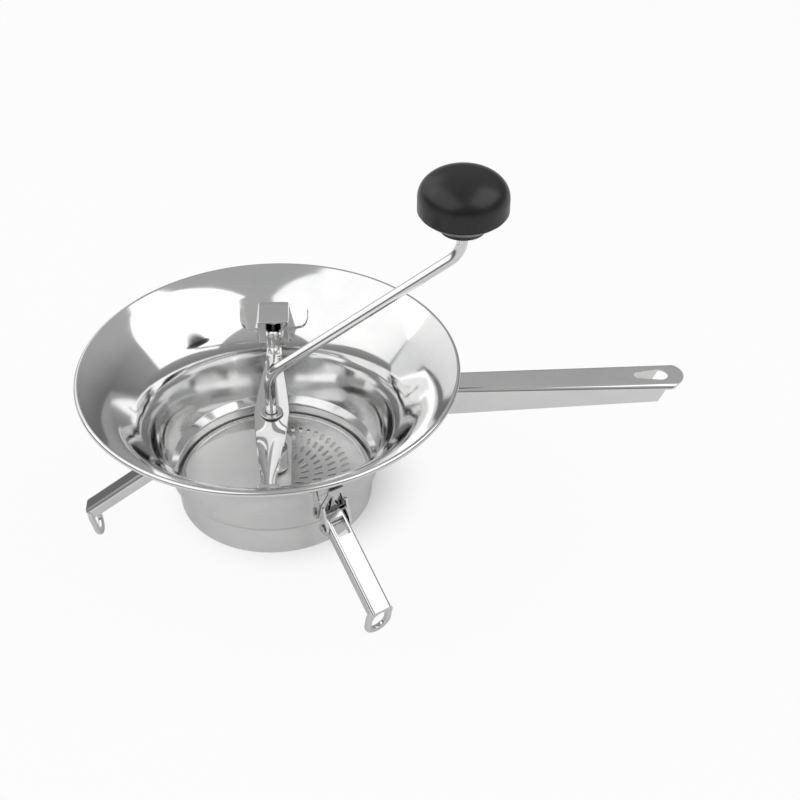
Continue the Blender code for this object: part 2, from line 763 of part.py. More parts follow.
def bar_path():
    """Upper side of the bar along its middle, from its front tongue to its rear one."""
    tongue_end = BAR_REACH + BAR_CREST_BEND + BAR_TONGUE
    corners = [
        (0, BAR_LEVEL),
        (BAR_REACH, BAR_LEVEL),
        (BAR_REACH, BAR_CREST_LEVEL),
        (tongue_end, BAR_CREST_LEVEL),
    ]
    lower = rounded_line(corners[:3], [BAR_BEND], BAR_BEND_STEPS)
    crest = rounded_line(corners[1:], [BAR_CREST_BEND], BAR_BEND_STEPS)
    low = -(CATCH_FACE_RADIUS + CATCH_SHEET + BAR_FRONT_TONGUE)
    run = lower[1].x - low
    flat = [Vector((low + run * step / BAR_LENGTH_STEPS, BAR_LEVEL)) for step in range(BAR_LENGTH_STEPS)]
    return [*flat, *lower[1:-1], *crest[1:]]


def bar_share(distance):
    """How far out a place on the bar is: 0 at its centre, 1 from its necks on."""
    return min(abs(distance) / (BAR_REACH - BAR_BEND), 1)


def bar_half_width(distance):
    """Half width of the bar at a distance from its centre."""
    fade = 1 - bar_share(distance) ** BAR_TAPER_POWER
    return BAR_NECK_HALF_WIDTH + (BAR_HALF_WIDTH - BAR_NECK_HALF_WIDTH) * fade


def bar_hollow(distance):
    """Depth of the bar's hollow at a distance from its centre."""
    return BAR_HOLLOW + (BAR_NECK_HOLLOW - BAR_HOLLOW) * bar_share(distance) ** 2


def bar_sheet():
    """Upper side of the bar."""
    path = bar_path()
    normals = []
    for index in range(len(path)):
        ahead = path[min(index + 1, len(path) - 1)]
        behind = path[max(index - 1, 0)]
        along = (ahead - behind).normalized()
        normals.append(Vector((-along.y, along.x)))

    def place(column, row):
        spread = 1 - 2 * row / BAR_WIDTH_STEPS
        point = path[column] + normals[column] * bar_hollow(path[column].x) * spread * spread
        return Vector((spread * bar_half_width(path[column].x), point.x, point.y))

    return sheet_mesh("cross_bar", len(path) - 1, BAR_WIDTH_STEPS, place)


def build_cross_bar(frame):
    """Cross bar, and the bush in its middle that the crank turns in."""
    bar = add_part("cross_bar", bar_sheet(), polished_steel("cross_bar"), frame)
    thicken(bar, BAR_SHEET)
    hole = rod_mesh("cross_bar_hole", BUSH_NECK_RADIUS + SEAT_GAP, 2 * (BAR_SHEET + OVERRUN), PIN_STEPS)
    combine(bar, add_cutter("cross_bar_hole", hole, frame, (0, 0, BAR_LEVEL)), "DIFFERENCE")
    turned_part("bar_bush", bush_profile(), PIN_STEPS, brushed_steel("bar_bush"), frame)


def bush_top_seat():
    """Height of the underside of the bush's upper flange, clear of the bar's hollow."""
    share = BUSH_FLANGE_RADIUS / BAR_HALF_WIDTH
    return BAR_LEVEL + BAR_HOLLOW * share * share + SEAT_GAP


def bush_low_seat():
    """Height of the upper side of the bush's lower flange."""
    return BAR_LEVEL - BAR_SHEET - SEAT_GAP


def bush_profile():
    """Section of the bush: a neck between two flanges."""
    bore = ROD_RADIUS + ROD_CLEARANCE
    top = bush_top_seat()
    low = bush_low_seat()
    return eyelet_profile(bore, BUSH_NECK_RADIUS, BUSH_FLANGE_RADIUS, BUSH_FLANGE, low, top)


def eyelet_profile(bore, neck, flange_radius, flange, low, high):
    """Closed section of a neck between two flanges, whose inner faces are at two heights."""
    return [
        (bore, high + flange),
        (flange_radius, high + flange),
        (flange_radius, high),
        (neck, high),
        (neck, low),
        (flange_radius, low),
        (flange_radius, low - flange),
        (bore, low - flange),
    ]


def disc_seat():
    """Height of the disc's underside."""
    return LIP_HEIGHT + SEAT_GAP


def disc_top():
    """Height of the disc's upper side."""
    return disc_seat() + DISC_SHEET


def disc_radius():
    """Outer radius of the disc."""
    return ring_radius(LIP_HEIGHT) - BOWL_SHEET - DISC_EDGE_CLEARANCE


def slot_outline(radius, azimuth):
    """Outline of one slanted slot, centred at a radius and an azimuth."""
    half = DISC_SLOT_LENGTH / 2
    wide = DISC_SLOT_WIDTH / 2
    corners = [(-half, -wide), (half, -wide), (half, wide), (-half, wide)]
    slant = Matrix.Rotation(math.radians(azimuth + DISC_SLOT_SLANT), 2)
    center = Matrix.Rotation(math.radians(azimuth), 2) @ Vector((radius, 0))
    return [center + slant @ Vector(corner) for corner in corners]


def disc_slots():
    """Outlines of all slots, ring by ring."""
    slots = []
    radius = DISC_OUTER_SLOTS_RADIUS
    while radius > EYELET_RADIUS + DISC_SLOT_LENGTH:
        count = int(2 * math.pi * radius / DISC_SLOT_PITCH)
        for index in range(count):
            slots.append(slot_outline(radius, 360 * (index + 0.5) / count + DISC_SLOT_SLANT))
        radius -= DISC_RING_PITCH
    return slots


def build_disc(frame):
    """Perforated disc with its raised edge, and the eyelet in its centre."""
    hole = circle((0, 0), EYELET_NECK_RADIUS + SEAT_GAP, PIN_STEPS)
    rim = circle((0, 0), disc_radius(), BOWL_STEPS)
    mesh = plate_mesh("perforated_disc", [rim, hole, *disc_slots()], DISC_SHEET)
    middle = DISC_SHEET / 2
    place = (0, 0, disc_seat() + middle)
    disc = add_part("perforated_disc", mesh, brushed_steel("perforated_disc"), frame, place)
    edge_inner = disc_radius() - DISC_EDGE_WIDTH
    edge = [
        (disc_radius() - DISC_EDGE_RISE, DISC_SHEET + DISC_EDGE_RISE),
        (disc_radius() - DISC_EDGE_RISE / 2, middle),
        (edge_inner, middle),
        (edge_inner + DISC_EDGE_RISE, DISC_SHEET + DISC_EDGE_RISE),
    ]
    ring = turned_cutter("disc_edge", edge, BOWL_STEPS, frame)
    ring.location = (0, 0, disc_seat())
    combine(disc, ring, "UNION")
    profile = eyelet_profile(ROD_RADIUS + ROD_CLEARANCE, EYELET_NECK_RADIUS, EYELET_RADIUS, EYELET_FLANGE,
                             disc_seat() - SEAT_GAP, disc_top() + SEAT_GAP)
    turned_part("disc_eyelet", profile, PIN_STEPS, brushed_steel("disc_eyelet"), frame)


def rod_path():
    """Middle line of the crank rod, from its foot in the disc to its end in the knob."""
    corners = [
        (0, ROD_FOOT),
        (0, ROD_LOW_CORNER),
        (CRANK_REACH, KNOB_FOOT - ROD_HIGH_CORNER_DROP),
        (CRANK_REACH, rod_end()),
    ]
    line = rounded_line(corners, [ROD_BEND, ROD_BEND], ROD_BEND_STEPS)
    return [(along, 0, height) for along, height in line]


def clip_seat():
    """Height of the underside of the knob's clip."""
    return KNOB_FOOT + KNOB_UNDERSIDE + KNOB_BOSS + SEAT_GAP


def rod_end():
    """Height of the rod's upper end."""
    return clip_seat() + CLIP_SHEET + ROD_END_OVER_CLIP


def hub_foot():
    """Height of the hub's underside, clear of the tilted blade."""
    return blade_height() + BLADE_SHEET / 2 + HUB_RADIUS * math.sin(math.radians(BLADE_TILT)) + SEAT_GAP


def hub_pin_height():
    """Height of the hub's cross pin."""
    return hub_foot() + HUB_HEIGHT / 2


def blade_height():
    """Height of the middle of the blade on the bowl's axis, with its low edge just off the disc."""
    tilt = math.radians(BLADE_TILT)
    return disc_top() + SEAT_GAP + BLADE_HALF_LENGTH * math.sin(tilt) + BLADE_SHEET / 2 * math.cos(tilt)


def cross_hole(name, parent):
    """Cutter for the hub pin's hole."""
    mesh = rod_mesh(name, HUB_PIN_RADIUS + SEAT_GAP, 2 * (HUB_RADIUS + OVERRUN), PIN_STEPS)
    return add_cutter(name, mesh, parent, (0, 0, hub_pin_height()), (math.radians(90), 0, 0))


def build_crank(crank):
    """Crank rod and the clip on its upper end."""
    mesh = tube_mesh("crank_rod", rod_path(), ROD_RADIUS, ROD_RESOLUTION)
    rod = add_part("crank_rod", mesh, polished_steel("crank_rod"), crank)
    combine(rod, cross_hole("rod_cross_hole", crank), "DIFFERENCE")
    bore = ROD_RADIUS + SEAT_GAP
    clip = washer_profile(bore, CLIP_RADIUS, clip_seat(), CLIP_SHEET)
    turned_part("knob_clip", clip, PIN_STEPS, spring_steel("knob_clip"), crank, location=(CRANK_REACH, 0, 0))


def washer_profile(bore, radius, foot, height):
    """Closed section of a plain ring."""
    return [(bore, foot + height), (radius, foot + height), (radius, foot), (bore, foot)]


def blade_outline():
    """Half an ellipse on the -X side, with a straight back past the hub."""
    ellipse = arc((0, 0), 1, 90, 270, BLADE_STEPS)
    curve = [(BLADE_REACH * x, BLADE_HALF_LENGTH * y) for x, y in ellipse]
    corner = BLADE_HALF_LENGTH - BLADE_BACK
    return [*curve, (BLADE_BACK, -corner), (BLADE_BACK, corner)]


def build_blade(crank):
    """Half-moon pressing blade with its hub and cross pin."""
    hole = circle((0, 0), ROD_RADIUS + ROD_CLEARANCE, PIN_STEPS)
    mesh = plate_mesh("pressing_blade", [blade_outline(), hole], BLADE_SHEET)
    tilt = (math.radians(BLADE_TILT), 0, 0)
    add_part("pressing_blade", mesh, polished_steel("pressing_blade"), crank, (0, 0, blade_height()), tilt)
    profile = washer_profile(ROD_RADIUS + SEAT_GAP, HUB_RADIUS, hub_foot(), HUB_HEIGHT)
    hub = turned_part("blade_hub", profile, ROUND_STEPS, brushed_steel("blade_hub"), crank)
    combine(hub, cross_hole("hub_cross_hole", crank), "DIFFERENCE")
    pin = rod_mesh("hub_pin", HUB_PIN_RADIUS, 2 * (HUB_RADIUS + HUB_PIN_PROUD), PIN_STEPS)
    place = (0, 0, hub_pin_height())
    across = (math.radians(90), 0, 0)
    add_part("hub_pin", pin, spring_steel("hub_pin"), crank, place, across)


def spring_path():
    """Helix between the seat on the hub and the bush, with its ends turned square to both."""
    foot = hub_foot() + HUB_HEIGHT + 2 * SEAT_GAP + SPRING_SEAT_SHEET
    head = bush_low_seat() - BUSH_FLANGE - SEAT_GAP
    stub = 2 * SPRING_WIRE_RADIUS
    low = foot + SEAT_GAP + 2 * stub
    high = head - 2 * stub
    steps = SPRING_CURLS * SPRING_POINTS_PER_CURL
    coil = []
    for step in range(steps + 1):
        angle = 2 * math.pi * step / SPRING_POINTS_PER_CURL
        height = low + (high - low) * step / steps
        coil.append((SPRING_RADIUS * math.cos(angle), SPRING_RADIUS * math.sin(angle), height))
    first = (SPRING_RADIUS, 0)
    foot = [(*first, low - 2 * stub), (*first, low - stub)]
    head = [(*first, high + stub), (*first, high + 2 * stub)]
    return [*foot, *coil, *head]


def report_spring_gap(path):
    """Print the least gap between the curls of the spring's wire."""
    least = math.inf
    for index, point in enumerate(path):
        for other in path[index + SPRING_POINTS_PER_CURL // 2:]:
            least = min(least, (Vector(point) - Vector(other)).length)
    print(f"spring: least gap between curls {(least - 2 * SPRING_WIRE_RADIUS) / MM:.2f} mm")


def build_spring(frame, lift):
    """Spring between the bush and the seat washer that rides on the hub."""
    path = spring_path()
    report_spring_gap(path)
    mesh = tube_mesh("pressure_spring", path, SPRING_WIRE_RADIUS, WIRE_RESOLUTION)
    add_part("pressure_spring", mesh, spring_steel("pressure_spring"), frame)
    foot = hub_foot() + HUB_HEIGHT + SEAT_GAP
    profile = washer_profile(ROD_RADIUS + ROD_CLEARANCE, SPRING_SEAT_RADIUS, foot, SPRING_SEAT_SHEET)
    turned_part("spring_seat", profile, PIN_STEPS, brushed_steel("spring_seat"), lift)


def knob_base_profile():
    """Closed section of the knob's underside with the boss that turns on the rod."""
    bore = ROD_RADIUS + ROD_CLEARANCE
    shelf = KNOB_FOOT + KNOB_UNDERSIDE
    spigot = KNOB_RADIUS - KNOB_WALL - SEAT_GAP
    return [
        (bore, shelf + KNOB_BOSS),
        (KNOB_BOSS_RADIUS, shelf + KNOB_BOSS),
        (KNOB_BOSS_RADIUS, shelf + KNOB_SPIGOT),
        (spigot, shelf + KNOB_SPIGOT),
        (spigot, shelf),
        (KNOB_RADIUS, shelf),
        (KNOB_HIP_RADIUS, KNOB_FOOT + KNOB_HIP),
        (KNOB_NECK_RADIUS, KNOB_FOOT + KNOB_LIP),
        (KNOB_NECK_RADIUS, KNOB_FOOT),
        (bore, KNOB_FOOT),
    ]


def dome(radius, height, level):
    """Points of a full, slightly squared dome, from its top on the axis down to its edge at a level."""
    points = []
    for along, up in arc((0, 0), 1, 90, 0, KNOB_DOME_STEPS):
        out = abs(along) ** (2 / KNOB_DOME_POWER)
        rise = abs(up) ** (2 / KNOB_DOME_POWER)
        points.append((radius * out, level + height * rise))
    return [(0, level + height), *points[1:-1], (radius, level)]


def knob_cap_profile():
    """Open section of the knob's cap, outside down and inside up, both ends on its axis."""
    foot = KNOB_FOOT + KNOB_UNDERSIDE + SEAT_GAP
    level = foot + KNOB_SIDE
    inside = KNOB_RADIUS - KNOB_WALL
    outer = dome(KNOB_RADIUS, KNOB_DOME, level)
    inner = dome(inside, KNOB_DOME - KNOB_WALL, level)
    return [*outer, (KNOB_RADIUS, foot), (inside, foot), *reversed(inner)]


def build_knob(knob):
    """Knob: core and cap."""
    turned_part("knob_base", knob_base_profile(), ROUND_STEPS, black_plastic("knob_base"), knob)
    turned_part("knob_cap", knob_cap_profile(), ROUND_STEPS, black_plastic("knob_cap"), knob, closed=False)


def leg_heel():
    """How far the leg's web runs past its hinge pin, to stop against the bracket's plate."""
    slope = math.radians(LEG_SLOPE)
    rise = LEG_WEB_RISE - LEG_CORNER
    reach = 0
    for _ in range(LEG_HEEL_ROUNDS):
        height = HINGE_HEIGHT + rise * math.cos(slope) + reach * math.sin(slope)
        plate = wall_radius(height) + SEAT_GAP + BRACKET_SHEET
        edge = HINGE_RADIUS + rise * math.sin(slope)
        reach = (edge - plate - SEAT_GAP) / math.cos(slope)
    return reach


def foot_direction():
    """Unit vector down the foot in the leg's own axes."""
    angle = math.radians(LEG_SLOPE - 90 - FOOT_LEAN)
    return Vector((math.cos(angle), 0, math.sin(angle)))


def foot_root():
    """Point in the leg's own axes where the middle of the foot's plate leaves the web."""
    return Vector((LEG_SPAN - FOOT_SHEET / 2, 0, LEG_WEB_RISE - FOOT_SHEET / 2))


def foot_mesh():
    """Ring foot with a slot, lying along X from its root."""
    radius = FOOT_WIDTH / 2
    end = arc((FOOT_LENGTH - radius, 0), radius, -90, 90, 4 * FILLET_STEPS)
    half = LEG_WIDTH / 2
    outline = [(0, -half), (radius / 2, -radius), *end, (radius / 2, radius), (0, half)]
    band = (FOOT_WIDTH - FOOT_SLOT_WIDTH) / 2
    slot = teardrop(FOOT_LENGTH - band, FOOT_SLOT_LENGTH, FOOT_SLOT_WIDTH, FOOT_SLOT_WIDTH)
    return plate_mesh("leg_foot", [outline, slot], FOOT_SHEET)


def leg_side():
    """Side outline of the leg: web line, flange line and the round ear about the pin."""
    heel = -leg_heel()
    drop = math.degrees(math.asin(LEG_FLANGE_DROP / LEG_EAR_RADIUS))
    ear = arc((0, 0), LEG_EAR_RADIUS, -drop, -180, 2 * FILLET_STEPS)
    over = LEG_WEB_RISE + OVERRUN
    lower = [(LEG_SPAN, over), (LEG_SPAN, -LEG_FLANGE_DROP)]
    return [*lower, *ear, (heel, LEG_WEB_RISE - LEG_CORNER), (heel, over)]


def ground_level():
    """Height of the ground below the bowl's base ring, where the feet are cut flat."""
    slope = math.radians(LEG_SLOPE)
    lean = math.radians(FOOT_LEAN)
    root = foot_root()
    root_height = HINGE_HEIGHT - root.x * math.sin(slope) + root.z * math.cos(slope)
    return root_height - FOOT_LENGTH * math.cos(lean) - FOOT_SHEET / 2 * math.sin(lean) + FOOT_FLAT


def leg_mesh():
    """Leg in its own axes: hinge pin at the origin, X down the leg, Z square to its web."""
    long = LEG_SPAN + OVERRUN
    short = -leg_heel() - OVERRUN
    depth = LEG_WEB_RISE + LEG_EAR_RADIUS + OVERRUN
    ends = [(short, LEG_WEB_RISE, LEG_WIDTH, depth), (long, LEG_WEB_RISE, LEG_WIDTH, depth)]
    leg = add_cutter("leg", channel_mesh("leg", ends, LEG_CORNER))
    thicken(leg, LEG_SHEET)
    turn = (math.radians(90), 0, 0)
    side = plate_mesh("leg_side", [leg_side()], LEG_WIDTH + OVERRUN)
    combine(leg, add_cutter("leg_side", side, None, (0, 0, 0), turn), "INTERSECT")
    hole = rod_mesh("leg_hole", HINGE_PIN_RADIUS + SEAT_GAP, LEG_WIDTH + OVERRUN, PIN_STEPS)
    combine(leg, add_cutter("leg_hole", hole, None, (0, 0, 0), turn), "DIFFERENCE")
    window_half = LEG_WIDTH / 2 - LEG_CORNER
    low = (LEG_WINDOW_START - leg_heel(), -window_half, LEG_WEB_RISE - LEG_SHEET - OVERRUN)
    high = (LEG_WINDOW_END, window_half, LEG_WEB_RISE + OVERRUN)
    combine(leg, add_cutter("leg_window", box_mesh("leg_window", low, high)), "DIFFERENCE")
    down = foot_direction()
    foot = add_cutter("leg_foot", foot_mesh(), None, foot_root(), (0, math.atan2(-down.z, down.x), 0))
    combine(leg, foot, "UNION")
    slope = math.radians(LEG_SLOPE)
    ground = box_mesh("leg_ground", (0, -FOOT_WIDTH, -FOOT_LENGTH), (2 * LEG_SPAN, FOOT_WIDTH, 0))
    below = Matrix.Rotation(slope, 4, "Y").inverted() @ Vector((0, 0, ground_level() - HINGE_HEIGHT))
    combine(leg, add_cutter("leg_ground", ground, None, below, (0, -slope, 0)), "DIFFERENCE")
    return settled_mesh(leg)


def bracket_outline():
    """Front outline of the bracket's plate: a narrow tab on two spread arms."""
    half = bracket_half_width() - BRACKET_INSET
    below = BRACKET_FOOT - OVERRUN
    tab = BRACKET_TAB_HALF_WIDTH
    left = [(-half, below), (-half, BRACKET_ARM_FOOT), (-tab, BRACKET_TAB_FOOT), (-tab, BRACKET_TOP)]
    right = [(-across, height) for across, height in reversed(left)]
    return [*left, *right]


def bracket_window(side):
    """Outline of the window between the bracket's middle strip and one of its arms."""
    half = bracket_half_width() - BRACKET_INSET - BRACKET_ARM
    top = BRACKET_ARM_FOOT + (half - BRACKET_STRIP_HALF_WIDTH) * bracket_arm_slope()
    return [
        (side * BRACKET_STRIP_HALF_WIDTH, BRACKET_WINDOW_FOOT),
        (side * half, BRACKET_WINDOW_FOOT),
        (side * half, BRACKET_ARM_FOOT),
        (side * BRACKET_STRIP_HALF_WIDTH, top),
    ]


def bracket_arm_slope():
    """Rise of the bracket's arms for each unit inwards."""
    run = bracket_half_width() - BRACKET_INSET - BRACKET_TAB_HALF_WIDTH
    return (BRACKET_TAB_FOOT - BRACKET_ARM_FOOT) / run


def bracket_plate():
    """Patch of sheet on the outer side of the wall, cut to the bracket's front outline."""
    heights = [BRACKET_TOP, BRACKET_TAB_FOOT, BRACKET_ARM_FOOT, BRACKET_WINDOW_FOOT, BRACKET_FOOT]
    inner = [(wall_radius(height) + SEAT_GAP, height) for height in heights]
    outer = [(radius + BRACKET_SHEET, height) for radius, height in inner]
    plate = turned_cutter("bracket", [*outer, *reversed(inner)], BOWL_STEPS)
    depth = 2 * (bracket_half_width() + OVERRUN)
    mesh = plate_mesh("bracket_front", [bracket_outline(), bracket_window(1), bracket_window(-1)], depth)
    turn = Matrix(((0, 0, 1), (1, 0, 0), (0, 1, 0))).to_euler()
    combine(plate, add_cutter("bracket_front", mesh, None, (inner[0][0], 0, 0), turn), "INTERSECT")
    return plate


def bracket_half_width():
    """Half the bracket's width, over both ears."""
    return LEG_WIDTH / 2 + SEAT_GAP + BRACKET_SHEET


def bracket_ear():
    """Side outline of a bracket ear: down the wall, round the hinge pin and back up."""
    inset = SEAT_GAP + BRACKET_SHEET / 2
    high = BRACKET_ARM_FOOT
    low = BRACKET_FOOT + BRACKET_SHEET
    center = (HINGE_RADIUS, HINGE_HEIGHT)
    lobe = arc(center, BRACKET_EAR_RADIUS, BRACKET_LOBE_START, BRACKET_LOBE_END, 3 * FILLET_STEPS)
    return [(wall_radius(high) + inset, high), (wall_radius(low) + inset, low), *lobe,
            (wall_radius(high) + inset + BRACKET_SHEET, high)]


def bracket_mesh():
    """Leg bracket on the +X side: a plate on the wall and two ears for the hinge pin."""
    bracket = bracket_plate()
    inner = LEG_WIDTH / 2 + SEAT_GAP
    for name, side in (("ear_left", -1), ("ear_right", 1)):
        ear = plate_mesh(name, [bracket_ear()], BRACKET_SHEET)
        place = (0, side * (inner + BRACKET_SHEET / 2), 0)
        combine(bracket, add_cutter(name, ear, None, place, (math.radians(90), 0, 0)), "UNION")
    length = 2 * (bracket_half_width() + OVERRUN)
    hole = rod_mesh("bracket_hole", HINGE_PIN_RADIUS + SEAT_GAP, length, PIN_STEPS)
    place = (HINGE_RADIUS, 0, HINGE_HEIGHT)
    combine(bracket, add_cutter("bracket_hole", hole, None, place, (math.radians(90), 0, 0)), "DIFFERENCE")
    return settled_mesh(bracket)


def hinge_pin_profile():
    """Open section of a rivet along Z, its ends on its axis."""
    half = bracket_half_width() + SEAT_GAP
    end = half + HINGE_HEAD
    return [
        (0, end),
        (HINGE_HEAD_RADIUS - HINGE_HEAD / 2, end),
        (HINGE_HEAD_RADIUS, half),
        (HINGE_PIN_RADIUS, half),
        (HINGE_PIN_RADIUS, -half),
        (HINGE_HEAD_RADIUS, -half),
        (HINGE_HEAD_RADIUS - HINGE_HEAD / 2, -end),
        (0, -end),
    ]


def build_legs(frame):
    """Three legs, their brackets and hinge pins."""
    leg = leg_mesh()
    bracket = bracket_mesh()
    steel = polished_steel("leg")
    bracket_steel = brushed_steel("leg_bracket")
    pin_steel = brushed_steel("hinge_pin")
    place = (HINGE_RADIUS, 0, HINGE_HEIGHT)
    for index, name in enumerate(LEG_NAMES):
        azimuth = LEG_FIRST_AZIMUTH + 360 * index / len(LEG_NAMES)
        side = add_empty(f"leg_side_{name}", frame, turn=azimuth)
        add_part(f"leg_bracket_{name}", bracket, bracket_steel, side)
        add_part(f"leg_{name}", leg, steel, side, place, (0, math.radians(LEG_SLOPE), 0))
        turned_part(f"hinge_pin_{name}", hinge_pin_profile(), PIN_STEPS, pin_steel, side, closed=False,
                    location=place, rotation=(math.radians(90), 0, 0))


def world_box():
    """Lowest and highest corners of all parts."""
    bpy.context.view_layer.update()
    depsgraph = bpy.context.evaluated_depsgraph_get()
    points = []
    for obj in PARTS.objects:
        if obj.type == "MESH":
            evaluated = obj.evaluated_get(depsgraph)
            points.extend(evaluated.matrix_world @ vert.co for vert in evaluated.data.vertices)
    low = [min(point[axis] for point in points) for axis in range(3)]
    high = [max(point[axis] for point in points) for axis in range(3)]
    return Vector(low), Vector(high)


def main():
    """Build the mill and stand it on the ground."""
    frame = add_empty("mill_frame")
    lift = add_empty("crank_lift", frame)
    crank = add_empty("crank", lift)
    knob = add_empty("knob", crank, (CRANK_REACH, 0, 0))
    build_bowl(frame)
    build_handle(frame)
    build_catches(frame)
    build_cross_bar(frame)
    build_disc(frame)
    build_crank(crank)
    build_blade(crank)
    build_spring(frame, lift)
    build_knob(knob)
    build_legs(frame)
    low, high = world_box()
    frame.location = (-(low.x + high.x) / 2, -(low.y + high.y) / 2, -low.z)
    bpy.context.view_layer.update()


main()
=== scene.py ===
"""Hand cranked food mill in a plain studio.

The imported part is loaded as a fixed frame. Each sub-assembly is a class that holds its sizes, builds its
pieces more finely than the frame does, gives them their finishes and hangs them on the frame's bodies.
Lengths are in metres. Plans and profiles are drawn from the bowl's axis, level with the bottom of its base
ring, and the workshop carries them from there to their place in the frame.
"""
import logging
import math
from collections.abc import Callable, Sequence
from dataclasses import dataclass, field
from enum import Enum
from typing import TypeAlias

import bmesh
import bpy
from mathutils import Matrix, Vector


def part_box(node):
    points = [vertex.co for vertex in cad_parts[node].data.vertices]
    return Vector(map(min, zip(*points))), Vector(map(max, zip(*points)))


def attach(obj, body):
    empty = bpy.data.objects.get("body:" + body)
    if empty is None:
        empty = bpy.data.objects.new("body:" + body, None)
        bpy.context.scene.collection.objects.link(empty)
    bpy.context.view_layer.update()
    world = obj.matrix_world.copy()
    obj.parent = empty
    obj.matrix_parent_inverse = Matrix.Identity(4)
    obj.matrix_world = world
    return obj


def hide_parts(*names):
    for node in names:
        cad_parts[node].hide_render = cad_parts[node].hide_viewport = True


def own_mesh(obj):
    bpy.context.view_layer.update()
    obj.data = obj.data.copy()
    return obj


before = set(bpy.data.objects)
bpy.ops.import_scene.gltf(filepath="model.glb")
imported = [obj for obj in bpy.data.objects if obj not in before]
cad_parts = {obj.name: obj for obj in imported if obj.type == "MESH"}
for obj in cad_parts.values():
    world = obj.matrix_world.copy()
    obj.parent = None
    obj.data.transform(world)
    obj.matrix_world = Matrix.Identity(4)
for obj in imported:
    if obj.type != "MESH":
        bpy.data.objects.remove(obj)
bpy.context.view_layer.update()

Outline: TypeAlias = Sequence[Sequence[float]]
Place: TypeAlias = Callable[[int, int], Vector]

MM = 0.001
SEAT_GAP = 0.3 * MM
OVERRUN = 2.0 * MM
MERGE_LIMIT = 0.001 * MM
FULL_TURN = 360.0
SHARP_ANGLE = 38.0
WIDEST_HALF_ANGLE = 89.0
NARROWEST_HALF_ANGLE = 1.0
FILLET_ROOM_SHARE = 0.45
SOFT_EDGE_SHARE = 0.4
EDGE_STEPS = 3
NOISE_MIDDLE = (0.3, 0.7)
LOG = logging.getLogger("food_mill")
LEG_AZIMUTHS = {"front": -58.4, "back": 61.6, "left": 181.6}


class Body(Enum):
    """Bodies of the frame that the pieces ride on."""

    MILL = "mill"
    CARRIER = "spring_carrier"
    CRANK = "crank"
    KNOB = "knob"
    LEG_FRONT = "leg_front"
    LEG_BACK = "leg_back"
    LEG_LEFT = "leg_left"


class Slot(Enum):
    """Material slots of the record."""

    STEEL = "steel"
    DULL_STEEL = "dull_steel"
    SPRING = "spring"
    KNOB = "knob"


class Mix(Enum):
    """Ways in which one form is combined with another."""

    CUT = "DIFFERENCE"
    KEEP = "INTERSECT"
    JOIN = "UNION"


# Outlines and profiles


def arc(center: Sequence[float], radius: float, start: float, end: float, steps: int) -> list[Vector]:
    """Points on an arc between two angles.

    Args:
        center: Centre of the arc.
        radius: Its radius.
        start: First angle, in degrees.
        end: Last angle, in degrees.
        steps: Number of chords.

    Returns:
        The points, both ends included.
    """
    points = []
    for step in range(steps + 1):
        angle = math.radians(start + (end - start) * step / steps)
        points.append(Vector((center[0] + radius * math.cos(angle), center[1] + radius * math.sin(angle))))
    return points


def ring(center: Sequence[float], radius: float, steps: int) -> list[Vector]:
    """Points once round a circle.

    Args:
        center: Centre of the circle.
        radius: Its radius.
        steps: Number of points.

    Returns:
        The points.
    """
    return arc(center, radius, 0.0, FULL_TURN, steps)[:-1]


def fillet(before: Vector, corner: Vector, after: Vector, radius: float, steps: int) -> list[Vector]:
    """Points that round one corner.

    Args:
        before: Point ahead of the corner.
        corner: The corner.
        after: Point behind the corner.
        radius: Radius of the rounding. It shrinks where the sides are too short for it.
        steps: Number of chords.

    Returns:
        The points from the first side to the second.
    """
    back = before - corner
    ahead = after - corner
    room = FILLET_ROOM_SHARE * min(back.length, ahead.length)
    back.normalize()
    ahead.normalize()
    half_angle = back.angle(ahead) / 2
    if radius <= 0 or not NARROWEST_HALF_ANGLE <= math.degrees(half_angle) <= WIDEST_HALF_ANGLE:
        return [corner]
    radius = min(radius, room * math.tan(half_angle))
    reach = radius / math.tan(half_angle)
    center = corner + (back + ahead).normalized() * radius / math.sin(half_angle)
    first = corner + back * reach - center
    last = corner + ahead * reach - center
    sweep = first.angle(last)
    points = []
    for step in range(steps + 1):
        share = step / steps
        mix = (first * math.sin((1 - share) * sweep) + last * math.sin(share * sweep)) / math.sin(sweep)
        points.append(center + mix)
    return points


def rounded_line(points: Outline, radii: Sequence[float], steps: int) -> list[Vector]:
    """Open line with its inner corners rounded.

    Args:
        points: Corners of the line.
        radii: Radius for each inner corner.
        steps: Chords in each rounding.

    Returns:
        The line's points.
    """
    corners = [Vector(point) for point in points]
    line = [corners[0]]
    for before, corner, after, radius in zip(corners, corners[1:], corners[2:], radii):
        if radius == 0:
            line.append(corner)
            continue
        back = (before - corner).normalized()
        ahead = (after - corner).normalized()
        half_angle = back.angle(ahead) / 2
        reach = radius / math.tan(half_angle)
        center = corner + (back + ahead).normalized() * radius / math.sin(half_angle)
        first = corner + back * reach - center
        last = corner + ahead * reach - center
        sweep = first.angle(last)
        for step in range(steps + 1):
            share = step / steps
            mix = (first * math.sin((1 - share) * sweep) + last * math.sin(share * sweep)) / math.sin(sweep)
            line.append(center + mix)
    line.append(corners[-1])
    return line


def rounded_loop(points: Outline, radius: float, steps: int) -> list[Vector]:
    """Closed outline with every corner rounded.

    Args:
        points: Corners of the outline.
        radius: Radius of the roundings.
        steps: Chords in each rounding.

    Returns:
        The outline's points.
    """
    corners = [Vector(point) for point in points]
    loop = []
    for index, corner in enumerate(corners):
        before = corners[index - 1]
        after = corners[(index + 1) % len(corners)]
        loop.extend(fillet(before, corner, after, radius, steps))
    return loop


